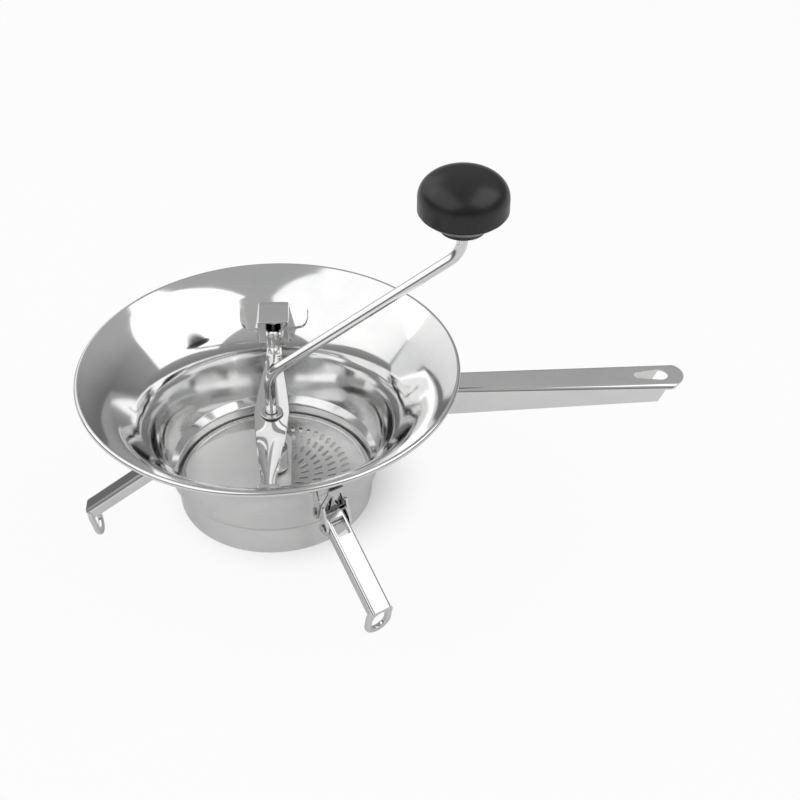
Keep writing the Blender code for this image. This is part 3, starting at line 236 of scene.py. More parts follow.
def offset_line(points: Outline, distance: float) -> list[Vector]:
    """Line beside an open line.

    Args:
        points: The line.
        distance: How far to its left the new line runs, or to its right where it is negative.

    Returns:
        The new line's points.
    """
    line = [Vector(point) for point in points]
    normals = []
    for start, end in zip(line, line[1:]):
        along = (end - start).normalized()
        normals.append(Vector((-along.y, along.x)))
    shifted = [line[0] + normals[0] * distance]
    for point, first, second in zip(line[1:], normals, normals[1:]):
        shifted.append(point + (first + second) * distance / (1 + first.dot(second)))
    shifted.append(line[-1] + normals[-1] * distance)
    return shifted


def teardrop(far: float, length: float, wide: float, narrow: float, steps: int) -> list[Vector]:
    """Outline along X with a wide round end at the far side and a narrow one at the near side.

    Args:
        far: Distance of the far end.
        length: Length over both ends.
        wide: Width of the far end.
        narrow: Width of the near end.
        steps: Chords in each end.

    Returns:
        The outline's points.
    """
    far_arc = arc((far - wide / 2, 0), wide / 2, -90, 90, steps)
    near_arc = arc((far - length + narrow / 2, 0), narrow / 2, 90, 270, steps)
    return [*far_arc, *near_arc]


def without_repeats(points: Outline) -> list[Vector]:
    """Points of a closed outline, without those that repeat the one before.

    Args:
        points: The outline.

    Returns:
        The points that are left.
    """
    kept = [Vector(points[0])]
    for point in points[1:]:
        if (Vector(point) - kept[-1]).length > MERGE_LIMIT:
            kept.append(Vector(point))
    if (kept[-1] - kept[0]).length <= MERGE_LIMIT:
        kept.pop()
    return kept


# Meshes


def mesh_from(bm: bmesh.types.BMesh, name: str) -> bpy.types.Mesh:
    """Turn a bmesh into a mesh and free it.

    Args:
        bm: The bmesh.
        name: Name of the mesh.

    Returns:
        The mesh.
    """
    mesh = bpy.data.meshes.new(name)
    bm.to_mesh(mesh)
    bm.free()
    return mesh


def turned(name: str, profile: Outline, steps: int, closed: bool = True) -> bpy.types.Mesh:
    """Turn a profile once about the Z axis.

    Args:
        name: Name of the mesh.
        profile: Radius and height of each point, down the outer side.
        steps: Number of faces round the axis.
        closed: Whether the profile closes on itself. If not, both its ends are on the axis.

    Returns:
        The mesh.
    """
    bm = bmesh.new()
    verts = [bm.verts.new((radius, 0, height)) for radius, height in profile]
    edges = [bm.edges.new(pair) for pair in zip(verts, verts[1:])]
    if closed:
        edges.append(bm.edges.new((verts[-1], verts[0])))
    bmesh.ops.spin(bm, geom=[*verts, *edges], cent=(0, 0, 0), axis=(0, 0, 1), angle=math.tau, steps=steps,
                   use_merge=True)
    bmesh.ops.remove_doubles(bm, verts=bm.verts, dist=MERGE_LIMIT)
    bmesh.ops.recalc_face_normals(bm, faces=bm.faces)
    return mesh_from(bm, name)


def box(name: str, low: Sequence[float], high: Sequence[float]) -> bpy.types.Mesh:
    """Box between two corners, for a cutter.

    Args:
        name: Name of the mesh.
        low: Its lowest corner.
        high: Its highest corner.

    Returns:
        The mesh.
    """
    bm = bmesh.new()
    bmesh.ops.create_cube(bm, size=1)
    for vert in bm.verts:
        for axis in range(3):
            vert.co[axis] = high[axis] if vert.co[axis] > 0 else low[axis]
    return mesh_from(bm, name)


def bar(name: str, radius: float, length: float, steps: int) -> bpy.types.Mesh:
    """Straight round bar along Z, centred on the origin.

    Args:
        name: Name of the mesh.
        radius: Radius of the bar.
        length: Its length.
        steps: Number of faces round it.

    Returns:
        The mesh.
    """
    bm = bmesh.new()
    bmesh.ops.create_cone(bm, cap_ends=True, segments=steps, radius1=radius, radius2=radius, depth=length)
    return mesh_from(bm, name)


def sheet(name: str, columns: int, rows: int, place: Place) -> bpy.types.Mesh:
    """Open sheet of faces.

    Args:
        name: Name of the mesh.
        columns: Faces along the sheet.
        rows: Faces across it.
        place: Gives the point for a column and a row.

    Returns:
        The mesh.
    """
    bm = bmesh.new()
    grid = [[bm.verts.new(place(column, row)) for row in range(rows + 1)] for column in range(columns + 1)]
    for near, far in zip(grid, grid[1:]):
        for row in range(rows):
            bm.faces.new((near[row], far[row], far[row + 1], near[row + 1]))
    return mesh_from(bm, name)


def curve_mesh(name: str, curve: bpy.types.Curve) -> bpy.types.Mesh:
    """Turn a curve into a closed mesh and remove the curve.

    Args:
        name: Name of the mesh.
        curve: The curve.

    Returns:
        The mesh.
    """
    obj = bpy.data.objects.new(name, curve)
    bpy.context.scene.collection.objects.link(obj)
    bpy.context.view_layer.update()
    evaluated = obj.evaluated_get(bpy.context.evaluated_depsgraph_get())
    mesh = bpy.data.meshes.new_from_object(evaluated)
    bpy.data.objects.remove(obj, do_unlink=True)
    bpy.data.curves.remove(curve)
    bm = bmesh.new()
    bm.from_mesh(mesh)
    bmesh.ops.remove_doubles(bm, verts=bm.verts, dist=MERGE_LIMIT)
    bmesh.ops.recalc_face_normals(bm, faces=bm.faces)
    bm.to_mesh(mesh)
    bm.free()
    mesh.name = name
    return mesh


def add_spline(curve: bpy.types.Curve, points: Outline, closed: bool) -> None:
    """Add a line of straight segments to a curve.

    Args:
        curve: The curve.
        points: Points of the line, in two or three axes.
        closed: Whether it closes on itself.
    """
    spline = curve.splines.new("POLY")
    spline.points.add(len(points) - 1)
    for spline_point, point in zip(spline.points, points):
        padded = (*point, 0, 0)[:3]
        spline_point.co = (*padded, 1)
    spline.use_cyclic_u = closed


def plate(name: str, outlines: Sequence[Outline], thickness: float, edge: float = 0.0) -> bpy.types.Mesh:
    """Flat plate in the XY plane, centred on it.

    Args:
        name: Name of the mesh.
        outlines: Its outer outline, and then those of its holes.
        thickness: Its thickness.
        edge: Radius of the rounding along its edges.

    Returns:
        The mesh.
    """
    curve = bpy.data.curves.new(name, "CURVE")
    curve.dimensions = "2D"
    curve.fill_mode = "BOTH"
    curve.extrude = thickness / 2 - edge
    curve.bevel_depth = edge
    curve.bevel_resolution = 2
    curve.offset = -edge
    for outline in outlines:
        add_spline(curve, without_repeats(outline), True)
    return curve_mesh(name, curve)


def tube(name: str, points: Outline, radius: float, resolution: int) -> bpy.types.Mesh:
    """Round wire or rod along a line.

    Args:
        name: Name of the mesh.
        points: Middle line of the wire.
        radius: Its radius.
        resolution: Steps in each quarter of its section.

    Returns:
        The mesh.
    """
    curve = bpy.data.curves.new(name, "CURVE")
    curve.dimensions = "3D"
    curve.bevel_depth = radius
    curve.bevel_resolution = resolution
    curve.use_fill_caps = True
    add_spline(curve, points, False)
    return curve_mesh(name, curve)


class Form:
    """A shape in the making: a mesh with a place and the work that is still to be done on it."""

    def __init__(self, mesh: bpy.types.Mesh, place: Matrix | None = None) -> None:
        """Start a form.

        Args:
            mesh: The mesh to start from.
            place: Where it stands.
        """
        self.obj = bpy.data.objects.new(mesh.name, mesh)
        self.obj.matrix_world = place or Matrix.Identity(4)
        self.tools: list[Form] = []
        bpy.context.scene.collection.objects.link(self.obj)

    def mixed(self, mesh: bpy.types.Mesh, mix: Mix, place: Matrix | None = None) -> "Form":
        """Combine the form with another mesh.

        Args:
            mesh: The other mesh.
            mix: How they are combined.
            place: Where the other mesh stands.

        Returns:
            The form itself.
        """
        tool = Form(mesh, place)
        self.tools.append(tool)
        modifier = self.obj.modifiers.new(mesh.name, "BOOLEAN")
        modifier.operation = mix.value
        modifier.object = tool.obj
        return self

    def thickened(self, thickness: float) -> "Form":
        """Give an open sheet its thickness, away from its normals."""
        solidify = self.obj.modifiers.new("thickness", "SOLIDIFY")
        solidify.thickness = thickness
        solidify.offset = -1
        solidify.use_even_offset = True
        return self

    def softened(self, width: float, segments: int = 2) -> "Form":
        """Round the form's edges.

        Args:
            width: Width of the rounding.
            segments: Its number of faces.

        Returns:
            The form itself.
        """
        bevel = self.obj.modifiers.new("edges", "BEVEL")
        bevel.width = width
        bevel.segments = segments
        bevel.limit_method = "ANGLE"
        bevel.angle_limit = math.radians(SHARP_ANGLE)
        return self

    def evaluated(self) -> bpy.types.Mesh:
        """Mesh with all of the form's work done, where the form stands."""
        bpy.context.view_layer.update()
        evaluated = self.obj.evaluated_get(bpy.context.evaluated_depsgraph_get())
        mesh = bpy.data.meshes.new_from_object(evaluated)
        mesh.transform(self.obj.matrix_world)
        return mesh

    def removed(self) -> None:
        """Take the form and its tools out of the file."""
        for tool in self.tools:
            tool.removed()
        bpy.data.objects.remove(self.obj, do_unlink=True)

    def settled(self) -> bpy.types.Mesh:
        """Do the form's work, remove the form and return its mesh."""
        mesh = self.evaluated()
        self.removed()
        return mesh


def shaded(mesh: bpy.types.Mesh) -> bpy.types.Mesh:
    """Shade a mesh smooth with its real corners sharp and its flat faces flat.

    Args:
        mesh: The mesh.

    Returns:
        The shaded mesh.
    """
    mesh.shade_smooth()
    mesh.set_sharp_from_angle(angle=math.radians(SHARP_ANGLE))
    form = Form(mesh)
    weighted = form.obj.modifiers.new("flats", "WEIGHTED_NORMAL")
    weighted.keep_sharp = True
    return form.settled()


# Finishes


class NodeBench:
    """Adds nodes to one material and joins them up."""

    def __init__(self, name: str) -> None:
        """Start a material with a Principled shader.

        Args:
            name: Name of the material.
        """
        self.material = bpy.data.materials.new(name)
        self.material.use_nodes = True
        self.nodes = self.material.node_tree.nodes
        self.links = self.material.node_tree.links
        self.shader = self.nodes["Principled BSDF"]
        self.output = self.nodes["Material Output"]

    def add(self, kind: str, **values: object) -> bpy.types.Node:
        """Add a node and set its properties.

        Args:
            kind: The node's type.
            values: Properties by name.

        Returns:
            The node.
        """
        node = self.nodes.new(kind)
        for name, value in values.items():
            setattr(node, name, value)
        return node

    def join(self, source: bpy.types.NodeSocket, target: bpy.types.NodeSocket) -> None:
        """Link one socket to another."""
        self.links.new(source, target)

    def position(self) -> bpy.types.NodeSocket:
        """Point on the piece, in the piece's own axes."""
        return self.add("ShaderNodeTexCoord").outputs["Object"]

    def noise(
        self, source: bpy.types.NodeSocket, scale: float, detail: float = 2.0, roughness: float = 0.5
    ) -> bpy.types.NodeSocket:
        """Add cloudy noise.

        Args:
            source: Where the noise is read.
            scale: How many of its patches fit in a metre.
            detail: How many finer layers it has.
            roughness: How strong those are.

        Returns:
            The noise, from 0 to 1.
        """
        node = self.add("ShaderNodeTexNoise")
        node.inputs["Scale"].default_value = scale
        node.inputs["Detail"].default_value = detail
        node.inputs["Roughness"].default_value = roughness
        self.join(source, node.inputs["Vector"])
        return node.outputs["Fac"]

    def math(self, operation: str, *values: object) -> bpy.types.NodeSocket:
        """Add a calculation.

        Args:
            operation: What it does.
            values: Numbers, or sockets that give them.

        Returns:
            The result.
        """
        node = self.add("ShaderNodeMath", operation=operation)
        for socket, value in zip(node.inputs, values):
            if isinstance(value, bpy.types.NodeSocket):
                self.join(value, socket)
            else:
                socket.default_value = value
        return node.outputs["Value"]

    def spread(self, source: bpy.types.NodeSocket, low: float, high: float) -> bpy.types.NodeSocket:
        """Carry a noise's middle range over to two values.

        Args:
            source: The noise.
            low: Value at its lowest.
            high: Value at its highest.

        Returns:
            The value.
        """
        node = self.add("ShaderNodeMapRange")
        node.inputs["From Min"].default_value, node.inputs["From Max"].default_value = NOISE_MIDDLE
        node.inputs["To Min"].default_value = low
        node.inputs["To Max"].default_value = high
        self.join(source, node.inputs["Value"])
        return node.outputs["Result"]

    def stretched(self, source: bpy.types.NodeSocket, scale: Sequence[float]) -> bpy.types.NodeSocket:
        """Stretch the place at which a texture is read.

        Args:
            source: The place.
            scale: Factor for each axis.

        Returns:
            The stretched place.
        """
        node = self.add("ShaderNodeMapping")
        node.inputs["Scale"].default_value = scale
        self.join(source, node.inputs["Vector"])
        return node.outputs["Vector"]

    def bump(
        self, height: bpy.types.NodeSocket, depth: float, strength: float,
        under: bpy.types.NodeSocket | None = None,
    ) -> bpy.types.NodeSocket:
        """Add relief.

        Args:
            height: Height of the relief, from 0 to 1.
            depth: What a height of 1 stands for.
            strength: How strongly it shows.
            under: Relief that this one is added to.

        Returns:
            The normal.
        """
        node = self.add("ShaderNodeBump")
        node.inputs["Distance"].default_value = depth
        node.inputs["Strength"].default_value = strength
        self.join(height, node.inputs["Height"])
        if under is not None:
            self.join(under, node.inputs["Normal"])
        return node.outputs["Normal"]

    def blend_colors(
        self, factor: bpy.types.NodeSocket, first: Sequence[float], second: Sequence[float]
    ) -> bpy.types.NodeSocket:
        """Mix two colours.

        Args:
            factor: Share of the second.
            first: Colour at 0.
            second: Colour at 1.

        Returns:
            The colour.
        """
        node = self.add("ShaderNodeMix", data_type="RGBA")
        node.inputs["A"].default_value = (*first, 1.0)
        node.inputs["B"].default_value = (*second, 1.0)
        self.join(factor, node.inputs["Factor"])
        return node.outputs["Result"]


@dataclass(frozen=True)
class Steel:
    """Stainless steel: its colour, how far it is polished and the marks that the polishing left."""

    name: str
    color: tuple[float, float, float] = (0.80, 0.80, 0.79)
    shade: tuple[float, float, float] = (0.74, 0.745, 0.75)
    smooth: float = 0.05
    smeared: float = 0.11
    cloud: float = 45.0
    cloud_detail: float = 4.0
    ripple: float = 30.0
    ripple_depth: float = 0.05 * MM
    grain: float = 900.0
    grain_detail: float = 3.0
    detail_strength: float = 0.6
    grain_stretch: tuple[float, float, float] = (0.05, 1.0, 1.0)
    grain_depth: float = 0.0015 * MM
    turned_about: tuple[float, float] | None = None

    def made(self) -> bpy.types.Material:
        """Material with clouded roughness, slow ripples, and a grain that is straight or round an axis."""
        bench = NodeBench(self.name)
        place = bench.position()
        cloud = bench.noise(place, self.cloud, self.cloud_detail, self.detail_strength)
        bench.shader.inputs["Metallic"].default_value = 1.0
        bench.join(bench.blend_colors(bench.spread(cloud, 0.0, 1.0), self.color, self.shade),
                   bench.shader.inputs["Base Color"])
        bench.join(bench.spread(cloud, self.smooth, self.smeared), bench.shader.inputs["Roughness"])
        slow = bench.bump(bench.noise(place, self.ripple, 1.0), self.ripple_depth, 1.0)
        fine = bench.bump(self.grain_height(bench, place), self.grain_depth, 1.0, slow)
        bench.join(fine, bench.shader.inputs["Normal"])
        return bench.material

    def grain_height(self, bench: NodeBench, place: bpy.types.NodeSocket) -> bpy.types.NodeSocket:
        """Height of the polishing marks.

        Args:
            bench: The material's bench.
            place: Point on the piece.

        Returns:
            The height.
        """
        if self.turned_about is None:
            along_grain = bench.stretched(place, self.grain_stretch)
            return bench.noise(along_grain, self.grain, self.grain_detail, self.detail_strength)
        parts = bench.add("ShaderNodeSeparateXYZ")
        bench.join(place, parts.inputs["Vector"])
        across = bench.math("SUBTRACT", parts.outputs["X"], self.turned_about[0])
        along = bench.math("SUBTRACT", parts.outputs["Y"], self.turned_about[1])
        radius = bench.math("POWER", bench.math("ADD", bench.math("MULTIPLY", across, across),
                                                bench.math("MULTIPLY", along, along)), 0.5)
        lathe = bench.add("ShaderNodeTexNoise", noise_dimensions="2D")
        both = bench.add("ShaderNodeCombineXYZ")
        bench.join(radius, both.inputs["X"])
        bench.join(parts.outputs["Z"], both.inputs["Y"])
        bench.join(both.outputs["Vector"], lathe.inputs["Vector"])
        lathe.inputs["Scale"].default_value = self.grain
        lathe.inputs["Detail"].default_value = self.grain_detail
        return lathe.outputs["Fac"]


@dataclass(frozen=True)
class Moulding:
    """Black moulded plastic with a fine spark-eroded grain."""

    name: str
    color: tuple[float, float, float] = (0.008, 0.008, 0.009)
    worn: tuple[float, float, float] = (0.013, 0.013, 0.014)
    smooth: float = 0.26
    dull: float = 0.36
    cloud: float = 60.0
    cloud_detail: float = 3.0
    grain: float = 2600.0
    grain_depth: float = 0.02 * MM
    grain_strength: float = 0.6

    def made(self) -> bpy.types.Material:
        """Material with a fine grain and handling marks."""
        bench = NodeBench(self.name)
        place = bench.position()
        cloud = bench.noise(place, self.cloud, self.cloud_detail)
        bench.join(bench.blend_colors(bench.spread(cloud, 0.0, 1.0), self.color, self.worn),
                   bench.shader.inputs["Base Color"])
        bench.join(bench.spread(cloud, self.smooth, self.dull), bench.shader.inputs["Roughness"])
        grain = bench.noise(place, self.grain, 1.0)
        bench.join(bench.bump(grain, self.grain_depth, self.grain_strength), bench.shader.inputs["Normal"])
        return bench.material


@dataclass(frozen=True)
class Paper:
    """White floor paper: it glows white to the camera, less in mirrors, and has a painted shade under the
    bowl.
    """

    name: str
    color: tuple[float, float, float] = (0.86, 0.86, 0.86)
    fibre: float = 8.0
    fibre_share: float = 0.98
    roughness: float = 0.9
    specular: float = 0.1
    # Painted shade: dark grey paper colour in a soft round patch under the bowl, where the glow also fades
    # out
    painted_shade_color: tuple[float, float, float] = (0.36, 0.36, 0.36)
    camera_share: float = 0.93
    mirror_share: float = 0.15
    painted_shade_place: tuple[float, float] = (-0.052, 0.042)
    painted_shade_inner_radius: float = 0.018
    painted_shade_outer_radius: float = 0.09

    def made(self) -> bpy.types.Material:
        """Matte material with a painted shade under the bowl, mixed with a white glow for camera rays and
        reflections that fades out in that patch.
        """
        bench = NodeBench(self.name)
        fibre = bench.noise(bench.position(), self.fibre)
        pale = tuple(self.fibre_share * part for part in self.color)
        clear_of_painted_shade = self.clear_of_painted_shade(bench)
        # Painted shade: the paper colour is mixed towards the dark grey inside the patch
        shade = bench.add("ShaderNodeMix", data_type="RGBA")
        shade.inputs["A"].default_value = (*self.painted_shade_color, 1.0)
        bench.join(bench.blend_colors(fibre, self.color, pale), shade.inputs["B"])
        bench.join(clear_of_painted_shade, shade.inputs["Factor"])
        bench.join(shade.outputs["Result"], bench.shader.inputs["Base Color"])
        bench.shader.inputs["Roughness"].default_value = self.roughness
        bench.shader.inputs["Specular IOR Level"].default_value = self.specular
        rays = bench.add("ShaderNodeLightPath")
        mirrored = bench.math("MAXIMUM", rays.outputs["Is Glossy Ray"], rays.outputs["Is Transmission Ray"])
        seen = bench.math("MAXIMUM", bench.math("MULTIPLY", rays.outputs["Is Camera Ray"], self.camera_share),
                          bench.math("MULTIPLY", mirrored, self.mirror_share))
        glow = bench.add("ShaderNodeEmission")
        glow.inputs["Color"].default_value = (1.0, 1.0, 1.0, 1.0)
        glow.inputs["Strength"].default_value = 1.0
        mix = bench.add("ShaderNodeMixShader")
        # The white glow fades out in the same painted shade patch
        bench.join(bench.math("MULTIPLY", seen, clear_of_painted_shade), mix.inputs["Fac"])
        bench.join(bench.shader.outputs["BSDF"], mix.inputs[1])
        bench.join(glow.outputs["Emission"], mix.inputs[2])
        bench.join(mix.outputs["Shader"], bench.output.inputs["Surface"])
        return bench.material

    def clear_of_painted_shade(self, bench: NodeBench) -> bpy.types.NodeSocket:
        """Mask of the painted shade on the floor: 0 in the middle of the painted shade under the bowl, 1
        clear of it.
        """
        parts = bench.add("ShaderNodeSeparateXYZ")
        bench.join(bench.position(), parts.inputs["Vector"])
        across = bench.math("SUBTRACT", parts.outputs["X"], self.painted_shade_place[0])
        along = bench.math("SUBTRACT", parts.outputs["Y"], self.painted_shade_place[1])
        radius = bench.math("SQRT", bench.math("ADD", bench.math("MULTIPLY", across, across),
                                               bench.math("MULTIPLY", along, along)))
        ramp = bench.add("ShaderNodeMapRange", interpolation_type="SMOOTHSTEP")
        ramp.inputs["From Min"].default_value = self.painted_shade_inner_radius
        ramp.inputs["From Max"].default_value = self.painted_shade_outer_radius
        bench.join(radius, ramp.inputs["Value"])
        return ramp.outputs["Result"]


class Workshop:
    """Carries finished meshes to their place in the frame and keeps the finishes."""

    def __init__(self) -> None:
        """Find the mill's axis from the frame's bowl and make the finishes."""
        low, high = (Vector(corner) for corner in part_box("bowl"))
        self.origin = Vector(((low.x + high.x) / 2, (low.y + high.y) / 2, low.z))
        self.to_frame = Matrix.Translation(self.origin)
        axis = (self.origin.x, self.origin.y)
        self.spun_steel = Steel(
            "spun_steel", smooth=0.06, smeared=0.12, turned_about=axis, ripple_depth=0.09 * MM).made()
        self.disc_steel = Steel(
            "disc_steel", color=(0.66, 0.66, 0.65), shade=(0.6, 0.6, 0.6), smooth=0.24, smeared=0.34,
            turned_about=axis, ripple_depth=0.1 * MM).made()
        self.pressed_steel = Steel("pressed_steel").made()
        self.satin_steel = Steel(
            "satin_steel", color=(0.9, 0.9, 0.89), shade=(0.86, 0.86, 0.86), smooth=0.4, smeared=0.5).made()
        self.rod_steel = Steel("rod_steel", grain_stretch=(1.0, 1.0, 1.0), ripple=90.0).made()
        self.dull_steel = Steel(
            "dull_steel", color=(0.66, 0.66, 0.65), shade=(0.58, 0.58, 0.57), smooth=0.18,
            smeared=0.32).made()
        self.wire_steel = Steel(
            "wire_steel", color=(0.55, 0.55, 0.54), shade=(0.45, 0.45, 0.44), smooth=0.22,
            smeared=0.34).made()
        self.moulding = Moulding("black_moulding").made()

    def placed(
        self, name: str, mesh: bpy.types.Mesh, finish: bpy.types.Material, body: Body, slot: Slot,
        *nodes: str, place: Matrix | None = None,
    ) -> bpy.types.Object:
        """Put a finished piece in the scene.

        Args:
            name: Name of the piece.
            mesh: Its mesh, drawn from the bowl's axis.
            finish: Its material.
            body: The frame's body that it rides on.
            slot: The record's slot for its finish; not used.
            nodes: Nodes of the frame that it stands for.
            place: Turn or shift before it is carried to the frame.

        Returns:
            The piece.
        """
        mesh.transform(self.to_frame @ (place or Matrix.Identity(4)))
        mesh.materials.clear()
        mesh.materials.append(finish)
        piece = bpy.data.objects.new(name, mesh)
        bpy.context.scene.collection.objects.link(piece)
        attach(piece, body.value)
        if nodes:
            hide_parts(*nodes)
        LOG.info("%s: %d faces, rides on %s", name, len(mesh.polygons), body.value)
        return piece


# Sub-assemblies


@dataclass
class Bowl:
    """Bowl, spun from one sheet: rolled rim, flare, throat, steep wall, shoulder, base ring and lip."""

    sheet: float = 1.0 * MM
    rim_radius: float = 110.0 * MM
    rim_height: float = 92.0 * MM
    bead: float = 1.7 * MM
    bead_steps: int = 20
    flare_angle: float = 31.0
    handle_root: float = 71.0 * MM
    bend_radius: float = 97.0 * MM
    bend_rounding: float = 60.0 * MM
    throat_angle: float = 47.0
    throat_radius: float = 72.5 * MM
    throat_rounding: float = 40.0 * MM
    bend_steps: int = 24
    shoulder_radius: float = 62.6 * MM
    shoulder_height: float = 23.0 * MM
    shoulder_rounding: float = 2.0 * MM
    shoulder_steps: int = 6
    ring_top_radius: float = 59.2 * MM
    ring_height: float = 18.5 * MM
    ring_radius: float = 58.0 * MM
    lip_radius: float = 52.0 * MM
    lip_height: float = 10.7 * MM
    hem_soft_share: float = 0.35
    steps: int = 240

    def flare_directions(self) -> tuple[Vector, Vector]:
        """Unit vectors up along the flare and square to it, towards the inside."""
        angle = math.radians(self.flare_angle)
        return Vector((math.cos(angle), math.sin(angle))), Vector((-math.sin(angle), math.cos(angle)))

    def rim_center(self) -> Vector:
        """Centre of the rolled rim's bead."""
        return Vector((self.rim_radius - self.bead, self.rim_height - self.bead))

    def underside_start(self) -> Vector:
        """Where the flare's underside leaves the rolled rim."""
        upslope, inward = self.flare_directions()
        rise = self.bead - self.sheet
        return self.rim_center() + inward * rise - upslope * math.sqrt(self.bead**2 - rise**2)

    def flare_and_wall(self) -> list[Vector]:
        """Outer side of the bowl from the rim's underside to the shoulder's corner."""
        start = self.underside_start()
        bend = start.y - (start.x - self.bend_radius) * math.tan(math.radians(self.flare_angle))
        throat = bend - (self.bend_radius - self.throat_radius) * math.tan(math.radians(self.throat_angle))
        corners = [start, (self.bend_radius, bend), (self.throat_radius, throat),
                   (self.shoulder_radius, self.shoulder_height)]
        return rounded_line(corners, [self.bend_rounding, self.throat_rounding], self.bend_steps)

    def outer_wall(self) -> list[Vector]:
        """Outer side of the bowl from the rim's underside to the bottom of the base ring."""
        upper = self.flare_and_wall()
        corners = [upper[-2], upper[-1], (self.ring_top_radius, self.ring_height), (self.ring_radius, 0)]
        lower = rounded_line(corners, [self.shoulder_rounding] * 2, self.shoulder_steps)
        return [*upper[:-1], *lower[1:]]

    def wall_radius(self, height: float) -> float:
        """Outer radius of the flare or the wall at a height."""
        line = self.flare_and_wall()
        for above, below in zip(line, line[1:]):
            if above.y >= height >= below.y:
                return below.x + (above.x - below.x) * (height - below.y) / (above.y - below.y)
        raise ValueError("the height is off the flare and the wall")

    def profile(self) -> list[Vector]:
        """Closed section of the bowl's sheet."""
        _, inward = self.flare_directions()
        start = math.degrees(math.atan2(inward.y, inward.x))
        cut = math.degrees(math.acos((self.bead - self.sheet) / self.bead))
        bead = arc(self.rim_center(), self.bead, start, start + cut - FULL_TURN, self.bead_steps)
        outer = self.outer_wall()
        inner = offset_line(outer, -self.sheet)
        hem_radius = self.ring_radius - 2 * self.sheet
        slope = (self.ring_top_radius - self.ring_radius) / self.ring_height
        lip_root = self.ring_radius + slope * self.lip_height - self.sheet
        hem = [outer[-2], outer[-1], (hem_radius, 0), (hem_radius, self.lip_height - self.sheet),
               (self.lip_radius, self.lip_height - self.sheet), (self.lip_radius, self.lip_height),
               (lip_root, self.lip_height), inner[-2]]
        soft = self.hem_soft_share * self.sheet
        hem = rounded_line(hem, [soft] * (len(hem) - 2), EDGE_STEPS)
        return [*bead, *outer[1:-1], *hem[1:-1], *reversed(inner[1:-1])]

    def inner_line(self, gap: float) -> list[Vector]:
        """Inner side of the bowl's flare and wall, a gap further in, from the rim to the shoulder."""
        return offset_line(self.flare_and_wall(), -self.sheet - gap)

    def envelope(self) -> bpy.types.Mesh:
        """Solid that fills the bowl out to a seat gap beyond its outer side."""
        line = offset_line(self.outer_wall(), SEAT_GAP)
        upslope, _ = self.flare_directions()
        top = line[0] + upslope * self.bead
        return turned("envelope", [(0, top.y), top, *line, (0, line[-1].y)], self.steps // 2, closed=False)

    def room(self) -> bpy.types.Mesh:
        """Solid that fills the flare and the wall from within, short of them by a seat gap."""
        line = self.inner_line(SEAT_GAP)
        return turned("room", [(0, line[0].y), *line, (0, line[-1].y)], self.steps // 2, closed=False)

    def lining(self, thickness: float) -> bpy.types.Mesh:
        """Ring of sheet of a thickness that lies on the inner side of the flare and the wall."""
        outer = self.inner_line(SEAT_GAP)
        inner = self.inner_line(SEAT_GAP + thickness)
        return turned("lining", [*outer, *reversed(inner)], self.steps // 2)

    def build(self, shop: Workshop) -> None:
        """Turn the bowl and put it in the scene."""
        mesh = shaded(turned("mill_bowl", self.profile(), self.steps))
        shop.placed("mill_bowl", mesh, shop.spun_steel, Body.MILL, Slot.STEEL, "bowl")


def channel_section(half_width: float, depth: float, corner: float, steps: int) -> list[Vector]:
    """Section of a round-cornered channel, open below, from its left foot over to its right foot.

    Args:
        half_width: Half its width.
        depth: Its depth.
        corner: Radius of its corners.
        steps: Chords in each corner.

    Returns:
        The section's points.
    """
    left = arc((-half_width + corner, -corner), corner, 180, 90, steps)
    right = arc((half_width - corner, -corner), corner, 90, 0, steps)
    return [Vector((-half_width, -depth)), *left, *right, Vector((half_width, -depth))]


def channel(name: str, ends: Sequence[Sequence[float]], corner: float, steps: int) -> bpy.types.Mesh:
    """Channel along X through sections, each given as x, top height, width and depth.

    Args:
        name: Name of the mesh.
        ends: The sections.
        corner: Radius of the corners.
        steps: Chords in each corner.

    Returns:
        The open sheet.
    """
    sections = [channel_section(width / 2, depth, corner, steps) for _, _, width, depth in ends]

    def place(column: int, row: int) -> Vector:
        """Point of the channel in a section and a row."""
        across, down = sections[column][row]
        return Vector((ends[column][0], across, ends[column][1] + down))

    return sheet(name, len(ends) - 1, len(sections[0]) - 1, place)


